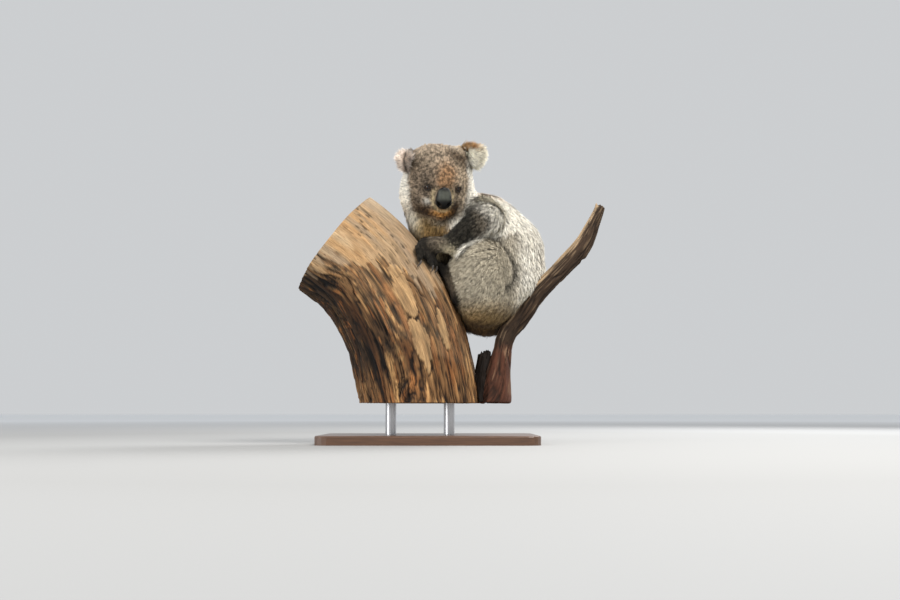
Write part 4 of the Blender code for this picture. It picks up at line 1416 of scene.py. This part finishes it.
# %% [markdown]
# ## The nose
#
# The big bare nose is a pad of black leather, with a nostril curling into each lower side. Nostrils
# cut with a boolean would have hard edges. The solid nose is melted to a fine mesh and relaxed
# instead, and the nostrils are pushed in by a formula in the head's frame, so they have soft lips.
# The grain of the leather is a cell pattern in the bump, and a painted sheen lightens the top of the pad.


# %% Nose pad
def nose_material():
    made, tree, shader = new_material("nose leather", 0.30, Specular_IOR_Level=0.26)
    place = add(tree, "ShaderNodeTexCoord").outputs["Object"]
    cells = add(tree, "ShaderNodeTexVoronoi", {"Vector": place, "Scale": 1500.0}, feature="DISTANCE_TO_EDGE")
    pebbles = between(tree, cells.outputs["Distance"], 0.0, 0.25, 0.0, 1.0)
    bumped(tree, shader, pebbles, 0.45, 0.0003)
    colour = mixed(tree, object_noise(tree, 160, 4), tone(48, 50, 44), tone(84, 86, 77))
    # Painted sheen: the upper middle of the pad keeps its grey, and the rest darkens to near black.
    painted_sheen = between(tree, attribute(tree, "nose_sheen"), 0.0, 1.0, 0.02, 1.0)
    tree.links.new(scaled(tree, colour, painted_sheen), shader.inputs["Base Color"])
    rough = between(tree, object_noise(tree, 220, 3), 0.3, 0.7, 0.28, 0.46)
    tree.links.new(rough, shader.inputs["Roughness"])
    return made


NOSE_VOXEL, NOSE_BLUR, NOSE_GROW = 0.0009, 26, 1.02  # blurring shrinks the pad, so it grows again
NOSTRIL_SIDE, NOSTRIL_LOW, NOSTRIL_DEPTH = 0.0100, 0.0125, 0.0070
PHILTRUM_DEPTH = 0.0010  # the groove below the middle of the pad


def nostril(x, z, side):
    """1 in a comma-shaped opening: a line bent like a parabola, which fades at both ends."""
    u, w = side * x - NOSTRIL_SIDE, z + NOSTRIL_LOW
    return np.exp(-(((u - 0.55 * w - 60 * w * w) / 0.0026) ** 2) - ((w / 0.0060) ** 2))


nose_mesh = melted(["nose"], NOSE_VOXEL)
nose_points = blur(points_of(nose_mesh), edges_of(nose_mesh), NOSE_BLUR)
nose_middle = nose_points.mean(axis=0)
nose_places = to_head(nose_middle + (nose_points - nose_middle) * NOSE_GROW)
x, y, z = (nose_places - NOSE_FRONT).T
x = x * (1 - 0.04 * ramp(z, 0.004, 0.024) - 0.12 * ramp(z, -0.010, -0.026))
nose_places[:, 0] = NOSE_FRONT[0] + x
front = ramp(-y, -0.004, 0.003)
for side in (1, -1):
    nose_places[:, 1] += NOSTRIL_DEPTH * nostril(x, z, side) * front
philtrum = np.exp(-((x / 0.0011) ** 2)) * ramp(z, -0.012, -0.018) * front
nose_places[:, 1] += PHILTRUM_DEPTH * philtrum
move_points(nose_mesh, nose_places @ HEAD_AXES + HEAD_MIDDLE)
# The band that gets the painted sheen.
sheen_band = ramp(z, -0.008, 0.006) * ramp(z, 0.022, 0.013) * ramp(np.abs(x), 0.016, 0.010)
store(nose_mesh, "nose_sheen", sheen_band)
nose_mesh.materials.clear()
nose_mesh.materials.append(nose_material())
nose = new_object("nose_pad", shade_smooth(nose_mesh))
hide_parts("nose")
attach(nose, "root")
print("nose", len(nose_mesh.polygons), "faces")

# %% [markdown]
# ## Claws
#
# A koala's claws are long curved cones of dark horn. Each claw's solid has five sides and already the
# right bend, so it isn't modelled again: Catmull-Clark subdivision rounds it, and the material
# darkens and polishes it.


# %% Claws
def horn_material():
    made, tree, shader = new_material("claw horn", 0.32, Specular_IOR_Level=0.5)
    grain = object_noise(tree, 500, 3, stretch=(1, 1, 0.25))
    tree.links.new(mixed(tree, grain, tone(28, 25, 24), tone(74, 66, 58)), shader.inputs["Base Color"])
    bumped(tree, shader, grain, 0.25, 0.0002)
    return made


HORN = horn_material()
CLAW_NAMES = sorted(n for n in NODES if n.startswith("claw_"))
for name in CLAW_NAMES:
    bm = solid_copy([name])
    mesh = bpy.data.meshes.new(name)
    bm.to_mesh(mesh)
    bm.free()
    mesh.materials.append(HORN)
    rough = new_object(name, mesh)
    rounding = rough.modifiers.new("rounding", "SUBSURF")
    rounding.levels = rounding.render_levels = 2
    piece = new_object(name.replace("claw_", "horn_"), shade_smooth(evaluated(rough, name)))
    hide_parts(name)
    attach(piece, "root")
print(len(CLAW_NAMES), "claws")

# %% [markdown]
# ## The trunk as a fine tube
#
# The trunk's solid is a tube of rings with straight sides, too coarse for bark. Subdividing it would
# give long thin faces. Walking from the lowest ring to its neighbours gives the rings in order
# instead, and smooth curves through them give an even tube fine enough for real furrows. Each point
# also gets a place on a straightened trunk, x and y around it and z along it, so that noise
# stretched along z follows the wood even where the trunk bends.


# %% Rings and smooth curves
SEAM_SLACK = 0.02  # so that a corner exactly at angle 0 always comes first


def rings_of(name):
    """The rings of corners of a tube-like solid, from the lowest up, each sorted by angle."""
    bm = solid_copy([name])
    floor_height = min(v.co.z for v in bm.verts)
    layer = {v for v in bm.verts if v.co.z < floor_height + 10 * MERGE_DISTANCE}
    seen, rings = set(layer), []
    while layer:
        rings.append(np.array([v.co[:] for v in layer]))
        layer = {e.other_vert(v) for v in layer for e in v.link_edges} - seen
        seen |= layer
    centres = np.array([ring.mean(axis=0) for ring in rings])
    for i, ring in enumerate(rings):
        along = unit(centres[min(i + 1, len(rings) - 1)] - centres[max(i - 1, 0)])
        off = ring - centres[i]
        angle = np.arctan2(off[:, 1], off @ [along[2], 0, -along[0]])
        rings[i] = ring[np.argsort((angle + SEAM_SLACK) % (2 * math.pi))]
    bm.free()
    return np.array(rings)


def through(rows, count, closed=False):
    """Rows of points between the given ones, on smooth Catmull-Rom curves."""
    n = len(rows)
    t = np.linspace(0, n, count, endpoint=False) if closed else np.linspace(0, n - 1, count)
    k = np.minimum(t.astype(int), n - 1 if closed else n - 2)
    u = (t - k)[:, None, None]
    order = [(k + i) % n if closed else np.clip(k + i, 0, n - 1) for i in (-1, 0, 1, 2)]
    a, b, c, d = (rows[i] for i in order)
    second = (2 * a - 5 * b + 4 * c - d) * u**2
    third = (3 * b - a - 3 * c + d) * u**3
    return 0.5 * (2 * b + (c - a) * u + second + third)


def ridged(noise, width):
    """1 on the thin lines where a noise changes sign, falling to 0 beside them."""
    return np.exp(-((noise / width) ** 2))


ROWS, COLUMNS = 210, 340
tube = through(rings_of("perch_trunk"), ROWS)
tube = through(tube.swapaxes(0, 1), COLUMNS, closed=True).swapaxes(0, 1)
centre_line = tube.mean(axis=1)
steps = np.linalg.norm(np.diff(centre_line, axis=0), axis=1)
along = np.r_[0, np.cumsum(steps)]
angle = np.arange(COLUMNS) / COLUMNS * 2 * math.pi
out = tube - centre_line[:, None]
TRUNK_RADIUS = float(np.linalg.norm(out, axis=2).mean())
print("trunk", round(along[-1], 3), "m along its middle, radius", round(TRUNK_RADIUS, 3), "rows", tube.shape)

# %% [markdown]
# ## Bark, plates and furrows
#
# Two kinds of bark meet on this trunk. Higher up and to the right it has shed its bark and is
# smooth, tan and streaked. Lower down and to the left old bark hangs in fibrous strips with dark
# furrows. Between them a few pale plates peel away. Bump alone would leave the trunk's outline
# smooth, so the relief is real: one height field and one colour field, worked out on the
# straightened trunk.

# %% Tones of the bark
SMOOTH = tone(166, 138, 104)
STREAK = tone(180, 140, 94)
ASH = tone(138, 120, 100)
BLEACHED = tone(194, 170, 136)
FIBRE = tone(128, 92, 56)
FIBRE_HIGHLIGHT = tone(190, 146, 94)
FIBRE_RED = tone(138, 86, 44)
FURROW = tone(30, 19, 11)
PLATE = tone(176, 142, 100)

# %% Threads, strips and furrows
NOISE_GAIN = 1.7  # noise rarely reaches 1, so it is made a little stronger
FURROW_DEPTH = 0.0052

grid_along = np.repeat(along[:, None], COLUMNS, 1).ravel()
grid_angle = np.repeat(angle[None, :], ROWS, 0).ravel()
grain = np.c_[TRUNK_RADIUS * np.cos(grid_angle), TRUNK_RADIUS * np.sin(grid_angle), grid_along]
rightward = np.cos(grid_angle)


def fibres(wide, long, seed):
    """Noise in long threads, a little crooked, mostly between -1 and 1."""
    crooked = grain + np.c_[twist, -twist, np.zeros(len(grain))]
    return NOISE_GAIN * wander(crooked, (wide, wide, long), seed)


twist = 0.010 * wander(grain, (0.05, 0.05, 0.11), 72)
strips = fibres(0.0085, 0.110, 73)
threads = fibres(0.0050, 0.060, 74)
fine = fibres(0.0028, 0.030, 75)
broad = fibres(0.030, 0.200, 76)

# Old bark reaches up to a ragged limit. Its darkest part narrows upwards, from all round the foot
# to the left side alone: how far to the right it reaches, at a few places along the trunk.
DARK_REACH = [(0.03, 1.0), (0.10, 0.25), (0.175, -0.30), (0.290, -0.50), (0.400, -0.62)]
ragged_limit = 0.340 - 0.140 * rightward + 0.030 * fibres(0.007, 0.040, 70) + 0.012 * broad
shed_line = ramp(grid_along, ragged_limit + 0.006, ragged_limit - 0.012)
dark_limit = np.interp(grid_along, *zip(*DARK_REACH))
dark = ramp(rightward + 0.10 * broad, dark_limit + 0.12, dark_limit - 0.16)
old_bark = np.clip(0.85 * shed_line + 0.35 * dark, 0, 1)
shadow_side = ramp(rightward, -0.35, -0.85)

furrows = ridged(strips, 0.26) * ramp(fibres(0.02, 0.08, 77), -0.9, 0.0)
hairline = ridged(threads, 0.16) * ramp(fine, -0.9, 0.3)
cords = ridged(fibres(0.0046, 0.070, 79), 0.30) * ramp(fibres(0.010, 0.050, 80), -0.8, 0.3)
flecks = ramp(NOISE_GAIN * wander(grain, (0.0036, 0.0036, 0.014), 78), 0.66, 0.95) * ramp(broad, -0.6, 0.3)
rough = 0.0010 * strips + 0.0008 * threads + 0.0004 * fine
rough = rough - FURROW_DEPTH * furrows - 0.0014 * hairline - 0.0018 * cords
calm = 0.0010 * broad + 0.0002 * threads - 0.0008 * flecks
height = calm + (rough - calm) * old_bark
print("old bark covers", round(float(old_bark.mean()), 2), "of the trunk")

# %% [markdown]
# Where eucalyptus bark sheds, thin plates stay behind for a while and long cracks open. A plate is a
# rounded patch with a ragged edge on the straightened trunk, a little proud and smooth, with a groove
# along its edge painted dark as shade. A crack is a thin crooked line, painted dark as shade.


# %% Plates and cracks
def plate(middle_along, middle_angle, long, wide, lean, seed):
    """A thin plate of bark: how far inside its ragged edge each point of the trunk lies."""
    s = grid_along - middle_along
    turn = (grid_angle - middle_angle + math.pi) % (2 * math.pi) - math.pi
    w = turn * TRUNK_RADIUS - lean * s
    ragged = 0.34 * fibres(0.007, 0.050, seed) + 0.16 * fibres(0.0035, 0.012, seed + 1)
    return 1 - (np.abs(s / long) ** 2.6 + np.abs(w / wide) ** 2.2) - ragged


# The place along the trunk and the angle, the half length and half width, the lean, and a seed.
PLATES = [
    (0.227, -1.25, 0.056, 0.020, 0.12, 81),
    (0.118, -1.32, 0.056, 0.019, -0.05, 83),
    (0.134, -0.81, 0.042, 0.012, 0.05, 85),
    (0.280, 1.10, 0.070, 0.022, 0.05, 89),
    (0.150, 2.10, 0.060, 0.024, -0.06, 91),
    (0.170, 0.35, 0.050, 0.018, 0.05, 93),
]
# The place along the trunk and the angle, the half length, and the lean.
CRACKS = [(0.227, -1.00, 0.030, -0.37), (0.262, -1.12, 0.0035, 6.0), (0.300, -1.95, 0.030, 0.2)]
CRACK_DEPTH, CRACK_WIDTH = 0.005, 0.0022

plates = [plate(*given) for given in PLATES]
inside_plate = np.max([ramp(p, 0.0, 0.12) for p in plates], axis=0)
plate_edge = np.max([np.exp(-(((p + 0.12) / 0.14) ** 2)) for p in plates], axis=0)
plate_edge *= ramp(fibres(0.012, 0.020, 96), -0.7, 0.1)
height = height * (1 - 0.8 * inside_plate) + 0.0010 * inside_plate - 0.0024 * plate_edge
crack = np.zeros(len(grain))
crooked = 0.004 * wander(grain, (0.02, 0.02, 0.012), 95)
for middle_along, middle_angle, long, lean in CRACKS:
    s = grid_along - middle_along
    turn = grid_angle - 2 * math.pi * (grid_angle > math.pi) - middle_angle
    w = turn * TRUNK_RADIUS - lean * s + crooked
    crack = np.maximum(crack, np.exp(-((w / CRACK_WIDTH) ** 2)) * ramp(np.abs(s), long, long * 0.6))
height -= CRACK_DEPTH * crack
print(len(PLATES), "plates and", len(CRACKS), "cracks; deepest furrow", round(-height.min() * 1000, 1), "mm")

# %% [markdown]
# The bark's colours follow the same fields as its relief: furrows are dark bark with painted shade
# in them, and raised threads get a painted highlight. Smooth bark is streaked in grey, tan and
# bleached wood, and old bark in brown and red.

# %% Colours of the bark
colours = np.repeat(SMOOTH[None, :], len(grain), axis=0)
long_streaks = fibres(0.016, 0.240, 61)
colours = paint(colours, ASH, ramp(long_streaks, 0.05, 0.75) * 0.55)
colours = paint(colours, STREAK, ramp(long_streaks, -0.20, -0.80) * 0.65)
colours = paint(colours, BLEACHED, ramp(fibres(0.020, 0.150, 62), 0.35, 1.0) * 0.60)
colours = paint(colours, FIBRE, ramp(fine + 0.5 * threads, 0.6, 1.3) * 0.45)
# Painted rim light: a bleached-pale band on the upper right edge of the trunk.
colours = paint(colours, BLEACHED, ramp(rightward, 0.80, 0.95) * ramp(grid_along, 0.33, 0.37) * 0.8)
colours = paint(colours, ASH, ramp(rightward, 0.5, 0.95) * 0.4)
checks = 0.25 * ridged(fine, 0.2) * ramp(broad, 0.0, 0.8)
colours = paint(colours, FURROW, np.clip(flecks + checks, 0, 1) * 0.7)
old = np.repeat(FIBRE[None, :], len(grain), axis=0)
# Painted highlight on the raised strips and threads of old bark.
old = paint(old, FIBRE_HIGHLIGHT, ramp(0.5 * strips + threads + 0.5 * fine, 0.20, 1.10))
old = paint(old, FIBRE_RED, ramp(fibres(0.018, 0.120, 63), 0.15, 0.9) * 0.75)
# Dark bark and painted shade in furrows, hairlines and cords.
old = paint(old, FURROW, np.clip(furrows * 1.15 + 0.55 * hairline + 0.8 * cords, 0, 1))
dim = 0.68 * dark * ramp(grid_along, 0.05, 0.14) + 0.25 * shadow_side
old *= (1 - np.clip(dim, 0, 0.82))[:, None]
old = paint(old, FIBRE_RED, ramp(fine + 0.6 * threads, 0.9, 1.6) * 0.7)
colours += (old - colours) * old_bark[:, None]
colours = paint(colours, PLATE, inside_plate * (0.70 + 0.2 * threads))
# Painted shade in the gaps round plates and in cracks.
colours = paint(colours, FURROW, np.clip(0.85 * plate_edge + crack, 0, 1) * (1 - inside_plate))
# Lighter where threads are raised, a painted highlight.
colours *= (1 + 0.12 * threads + 0.08 * fine)[:, None]
print("mean colour of the bark", colours.mean(0).round(3))


# %% [markdown]
# The grid becomes a mesh, closed at both ends by a sawn face of ever smaller rings, which a saw has
# left a little uneven. On the sawn faces the material draws the growth rings, from the same
# straightened places.

# %% Trunk mesh
CUT_WOOD = tone(176, 136, 94)
UP = np.array([0, 0, 1.0])
SAWN_RINGS = 13
SAW_BULGE, SAW_MARKS = 0.0012, 0.0004


def grid_normals(grid):
    """The way out at each point of a closed tube of points."""
    ahead = np.gradient(grid, axis=0)
    aside = np.roll(grid, -1, axis=1) - np.roll(grid, 1, axis=1)
    return unit(np.cross(aside, ahead))


def sawn_end(ring, inward, seed):
    """Smaller and smaller rings inside an end ring, and how far in each is, from 1 to 0."""
    shares = np.linspace(1, 0.02, SAWN_RINGS + 1)[1:]
    centre = ring.mean(axis=0)
    discs = centre + (ring - centre)[None] * shares[:, None, None]
    marks = wander(discs.reshape(-1, 3), (0.05, 0.05, 0.003), seed).reshape(len(shares), -1)
    return discs + inward * (SAW_BULGE + SAW_MARKS * marks)[..., None], shares


def disc_grain(shares, height):
    """Places on the straightened trunk for the rings of a sawn face."""
    return np.stack([np.c_[r * grain[:COLUMNS, :2], np.full(COLUMNS, height)] for r in shares])


walls = tube + grid_normals(tube) * height.reshape(ROWS, COLUMNS, 1)
low_end, low_shares = sawn_end(walls[0], UP, 97)
high_end, high_shares = sawn_end(walls[-1], unit(centre_line[-2] - centre_line[-1]), 98)
whole = np.concatenate([low_end[::-1], walls, high_end])
wall_rows = slice(SAWN_RINGS, -SAWN_RINGS)

low_grain, high_grain = disc_grain(low_shares[::-1], 0.0), disc_grain(high_shares, along[-1])
whole_grain = np.concatenate([low_grain, grain.reshape(ROWS, COLUMNS, 3), high_grain])
whole_colours = np.ones((*whole.shape[:2], 4))
whole_colours[..., :3] = CUT_WOOD
whole_colours[wall_rows, :, :3] = colours.reshape(ROWS, COLUMNS, 3)
cut = np.ones(whole.shape[:2])
cut[wall_rows] = 0
cracked = np.zeros(whole.shape[:2])
cracked[wall_rows] = (old_bark * (1 - 0.8 * inside_plate)).reshape(ROWS, COLUMNS)

number = np.arange(whole.shape[0] * COLUMNS).reshape(-1, COLUMNS)
quads = np.stack([number[:-1], np.roll(number[:-1], -1, 1), np.roll(number[1:], -1, 1), number[1:]], axis=-1)
trunk_mesh = bpy.data.meshes.new("trunk")
last_faces = [number[0][::-1].tolist(), number[-1].tolist()]
trunk_mesh.from_pydata(whole.reshape(-1, 3), [], quads.reshape(-1, 4).tolist() + last_faces)
store(trunk_mesh, "grain", whole_grain, "FLOAT_VECTOR")
store(trunk_mesh, "cracked", cracked)
store(trunk_mesh, "bark_colour", whole_colours, "FLOAT_COLOR")
store(trunk_mesh, "cut", cut)
print("trunk mesh", whole.shape[0], "rings of", COLUMNS, "points")


# %% [markdown]
# The bark's material adds what is finer than the mesh: threads a millimetre wide, pores, and short
# splits in the old bark, darkened as painted shade. A tiled map of bark would repeat itself and run
# straight on where the trunk bends, so these are noises laid along the straightened trunk, as colour
# and as bump.


# %% Bark material
SPLIT_WIDTH = 0.022  # how far a noise may be from its middle value inside a split
RINGS_PER_METRE = 1700.0


def grain_place(tree, stretch):
    """The place on the straightened trunk, stretched for long grain."""
    place = {"Vector": attribute(tree, "grain", "Vector"), "Scale": stretch}
    return add(tree, "ShaderNodeMapping", place).outputs[0]


def grain_noise(tree, scale, stretch, detail=3.0, roughness=0.55):
    """Noise drawn out along the trunk."""
    inputs = {"Vector": grain_place(tree, stretch), "Scale": scale, "Detail": detail, "Roughness": roughness}
    return add(tree, "ShaderNodeTexNoise", inputs).outputs["Fac"]


def product(tree, first, *others):
    """All values multiplied."""
    for other in others:
        first = maths(tree, "MULTIPLY", first, other)
    return first


def ring_shade(tree):
    """The growth rings of a sawn face, a little wavy, with the marks of a saw over them."""
    flat = grain_place(tree, (1, 1, 0))
    warp = add(tree, "ShaderNodeTexNoise", {"Vector": flat, "Scale": 30.0, "Detail": 2.0}).outputs["Color"]
    bent = vectors(tree, "MULTIPLY_ADD", warp, (0.012, 0.012, 0), flat)
    reach = add(tree, "ShaderNodeVectorMath", {0: bent}, operation="LENGTH").outputs["Value"]
    rings = maths(tree, "SINE", maths(tree, "MULTIPLY", reach, RINGS_PER_METRE))
    saw = add(tree, "ShaderNodeTexNoise", {"Vector": flat, "Scale": 900.0, "Detail": 3.0}).outputs["Fac"]
    return product(tree, between(tree, rings, -1.0, 1.0, 0.72, 1.06), between(tree, saw, 0.3, 0.7, 0.85, 1.1))


def bark_material():
    made, tree, shader = new_material("bark and wood", 0.82, Specular_IOR_Level=0.3)
    threads = grain_noise(tree, 520, (1, 1, 0.07), 4)
    blotches = grain_noise(tree, 120, (1, 1, 0.3), 4)
    hairs = grain_noise(tree, 1100, (1, 1, 0.05), 5, 0.7)
    pores = grain_noise(tree, 420, (1, 1, 0.25), 3)
    weave = grain_noise(tree, 105, (1, 1, 0.055), 3, 0.45)
    off_line = maths(tree, "ABSOLUTE", maths(tree, "SUBTRACT", weave, 0.5))
    # Painted shade in the splits of old bark.
    split = between(tree, off_line, 0.0, SPLIT_WIDTH, 0.82, 0.0)
    split = product(tree, attribute(tree, "cracked"), split)
    shade = product(
        tree,
        between(tree, threads, 0.3, 0.7, 0.70, 1.25),
        between(tree, blotches, 0.3, 0.7, 0.86, 1.12),
        between(tree, hairs, 0.35, 0.65, 0.72, 1.22),
        between(tree, pores, 0.62, 0.72, 1.0, 0.55),
        maths(tree, "SUBTRACT", 1.0, split),
    )
    colour = attribute(tree, "bark_colour", "Color")
    bark, wood = scaled(tree, colour, shade), scaled(tree, colour, ring_shade(tree))
    tree.links.new(mixed(tree, attribute(tree, "cut"), bark, wood), shader.inputs["Base Color"])
    grained = maths(tree, "ADD", threads, maths(tree, "MULTIPLY", hairs, 0.5))
    relief = maths(tree, "SUBTRACT", grained, maths(tree, "MULTIPLY", split, 1.6))
    bumped(tree, shader, relief, 0.8, 0.0011)
    return made


BARK = bark_material()


def finish_wood(names, mesh):
    """Turns a mesh into the bark of the named solids of the perch."""
    mesh.materials.clear()
    mesh.materials.append(BARK)
    piece = new_object("bark_" + names[0], shade_smooth(mesh))
    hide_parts(*["perch_" + name for name in names])
    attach(piece, "root")
    print(piece.name, sum(len(p.vertices) - 2 for p in mesh.polygons), "triangles")


finish_wood(["trunk"], trunk_mesh)

# %% [markdown]
# ## The branch, its foot and the dead stub
#
# A weathered side branch leaves the trunk, a reddish stem stands at its foot, and a dark broken stub
# is left of a third limb. They are small and have no rings to follow, so their solids are simply
# melted into fine meshes. A middle line, found by averaging thin slices, gives each point a place
# along and around the wood as before.


# %% Thin limbs
DARK_BARK = tone(60, 44, 30)
WEATHERED = tone(178, 152, 120)
RED_BARK = tone(84, 48, 32)
STUB = tone(22, 15, 10)
STUB_LIGHT = tone(42, 28, 16)
LIMB_VOXEL, LIMB_SWELL, LIMB_BLUR = 0.0019, 0.0003, 9
LIMB_RADIUS = 0.022
SLICES = 25


def limb_grain(points, direction):
    """Places on the straightened limb."""
    w = points @ direction
    cuts = np.linspace(w.min(), w.max(), SLICES + 1)
    number = np.digitize(w, cuts) - 1
    middles = np.array([points[np.abs(number - i) <= 1].mean(axis=0) for i in range(SLICES)])
    centre = np.stack([np.interp(w, (cuts[:-1] + cuts[1:]) / 2, middles[:, k]) for k in range(3)], axis=1)
    off = points - centre
    across = unit(np.cross([0, 1, 0], direction))
    angle = np.arctan2(off[:, 1], off @ across)
    return np.c_[LIMB_RADIUS * np.cos(angle), LIMB_RADIUS * np.sin(angle), w]


def thin_limb(names, direction, base, light, light_way, seed, splinter):
    """Bark over the named solids; light wood shows on the side that light_way points to."""
    mesh = melted(["perch_" + name for name in names], LIMB_VOXEL, LIMB_SWELL)
    points = blur(points_of(mesh), edges_of(mesh), LIMB_BLUR)
    move_points(mesh, points)
    normals = normals_of(mesh)
    grain = limb_grain(points, unit(np.array(direction)))
    strips = NOISE_GAIN * wander(grain, (0.007, 0.007, 0.070), seed)
    threads = NOISE_GAIN * wander(grain, (0.0032, 0.0032, 0.030), seed + 1)
    knots = NOISE_GAIN * wander(grain, (0.018, 0.018, 0.045), seed + 2)
    furrows = ridged(strips, 0.22) * ramp(knots, -0.9, 0.3)
    cracks = ridged(threads, 0.24) * ramp(knots, 0.9, -0.2)
    height = 0.0010 * strips + 0.0005 * threads + 0.0006 * knots - 0.0030 * furrows - 0.0012 * cracks
    points = points + normals * height[:, None]
    tall = points[:, 2].max()
    splinters = NOISE_GAIN * wander(points, (0.005, 0.005, 0.2), seed + 3)
    points[:, 2] += splinter * splinters * ramp(points[:, 2], tall - 0.03, tall)
    move_points(mesh, points)
    colours = np.repeat(base[None, :], len(points), axis=0)
    if "stem" in names:
        colours = paint(colours, RED_BARK, ramp(points[:, 2], 0.235, 0.195) * 0.9)
    bare = ramp(normals @ unit(np.array(light_way)) + 0.22 * strips + 0.15 * knots, 0.62, 0.92)
    colours = paint(colours, light, bare * 0.85 * ramp(points[:, 2], 0.250, 0.300))
    colours = paint(colours, light, ramp(threads, 0.5, 1.1) * 0.22)
    # Dark bark and painted shade in the limb's furrows and cracks.
    colours = paint(colours, FURROW, np.clip(furrows + 0.8 * cracks, 0, 1) * 0.9)
    colours *= (1 + 0.14 * threads + 0.10 * knots)[:, None]
    store(mesh, "grain", grain, "FLOAT_VECTOR")
    store(mesh, "bark_colour", np.c_[np.clip(colours, 0, 1), np.ones(len(points))], "FLOAT_COLOR")
    store(mesh, "cut", np.zeros(len(points)))
    finish_wood(names, mesh)


thin_limb(["branch", "stem"], (0.62, 0, 0.78), DARK_BARK, WEATHERED, (-0.75, -0.30, 0.55), 111, 0.004)
thin_limb(["snag"], (0.05, 0, 1), STUB, STUB_LIGHT, (0.6, -0.7, 0.1), 131, 0.008)

# %% [markdown]
# ## The stand and the studio
#
# A museum stands a cut trunk on a flat varnished base with two steel rods. The shapes of these solids
# are right as they are, so only their materials change.


# %% Stand materials
def wood_material():
    made, tree, shader = new_material("base wood", 0.4, Coat_Weight=0.35, Coat_Roughness=0.2)
    grain = object_noise(tree, 60, 5, stretch=(0.35, 6, 6))
    tree.links.new(mixed(tree, grain, tone(52, 34, 24), tone(112, 78, 54)), shader.inputs["Base Color"])
    bumped(tree, shader, grain, 0.15, 0.0005)
    return made


def steel_material():
    made, tree, shader = new_material("rod steel", 0.3, Metallic=1.0)
    brushed = object_noise(tree, 300, 2, stretch=(1, 1, 0.03))
    tree.links.new(between(tree, brushed, 0.3, 0.7, 0.22, 0.42), shader.inputs["Roughness"])
    colour = mixed(tree, brushed, tone(176, 176, 178), tone(206, 206, 208))
    tree.links.new(colour, shader.inputs["Base Color"])
    return made


def finish_node(name, material):
    """Gives one of the solids a finished material."""
    thing = NODES[name]
    if not thing.material_slots:
        thing.data.materials.append(material)
    for place in thing.material_slots:
        place.material = material


finish_node("stand_base", wood_material())
steel = steel_material()
RODS = [n for n in NODES if n.startswith("stand_rod_")]
for name in RODS:
    finish_node(name, steel)
print("stand: a base and", len(RODS), "rods")

# %% [markdown]
# ## The studio
#
# The floor, the lights and the camera aren't part of the model. A plain floor of one tone would end
# in a hard line against the world behind it. This one grows paler with distance until it meets the
# world's own tone, like a studio's paper sweep. Three large soft lights keep the fur's shadows soft.

# %% Floor
FLOOR_HALF = 30
FLOOR_NEAR, FLOOR_FAR = (0.36, 0.36, 0.355), (0.90, 0.92, 0.94)
SWEEP_START, SWEEP_END = 1.5, 7.0

floor_mesh = bpy.data.meshes.new("floor")
bm = bmesh.new()
bmesh.ops.create_grid(bm, x_segments=1, y_segments=1, size=FLOOR_HALF)
bm.to_mesh(floor_mesh)
bm.free()
floor_material, tree, shader = new_material("floor", 0.9)
away = add(tree, "ShaderNodeTexCoord").outputs["Object"]
away = add(tree, "ShaderNodeVectorMath", {0: away}, operation="LENGTH").outputs["Value"]
away = between(tree, away, SWEEP_START, SWEEP_END, 0.0, 1.0)
tree.links.new(mixed(tree, away, FLOOR_NEAR, FLOOR_FAR), shader.inputs["Base Color"])
floor_mesh.materials.append(floor_material)
floor = new_object("floor", floor_mesh)

# %% Lights and camera
world = bpy.data.worlds.new("studio")
bpy.context.scene.world = world
world.use_nodes = True
background = world.node_tree.nodes["Background"].inputs
background["Color"].default_value = (0.84, 0.86, 0.88, 1)
background["Strength"].default_value = 0.72


def soft_light(name, place, aim, size, power, colour=(1, 1, 1)):
    """A square lamp of the given size in metres and power in watts, turned towards aim."""
    lamp = bpy.data.lights.new(name, "AREA")
    lamp.shape = "RECTANGLE"
    lamp.size, lamp.size_y, lamp.energy, lamp.color = size, size, power, colour
    thing = new_object(name, lamp)
    thing.location = place
    thing.rotation_euler = (Vector(aim) - Vector(place)).to_track_quat("-Z", "Y").to_euler()


MIDDLE = ((CAD_BOX[0] + CAD_BOX[1]) / 2)[:]
soft_light("key", (1.1, -1.5, 2.4), MIDDLE, 1.3, 82, (1.0, 0.97, 0.93))
soft_light("fill", (-2.2, -1.5, 0.8), MIDDLE, 1.8, 46)
soft_light("rim", (1.5, 1.6, 2.0), MIDDLE, 1.2, 75)

VIEW_AIM = Vector((-0.0074, -0.018, 0.321))
VIEW_BACK, VIEW_HEIGHT = 2.6, 0.070  # the camera stands this far before its aim, low down
VIEW_WIDTH = 2.025  # how much the view shows from side to side, at its aim
camera_data = bpy.data.cameras.new("camera")
camera = new_object("camera", camera_data)
camera.location = (VIEW_AIM.x, VIEW_AIM.y - VIEW_BACK, VIEW_HEIGHT)
aim = VIEW_AIM - camera.location
camera.rotation_euler = aim.to_track_quat("-Z", "Y").to_euler()
camera_data.sensor_width = 36
camera_data.angle = 2 * math.atan(VIEW_WIDTH / 2 / aim.length)
bpy.context.scene.camera = camera
bpy.context.scene.view_settings.view_transform = "Standard"
print("camera", round(aim.length, 2), "m away")
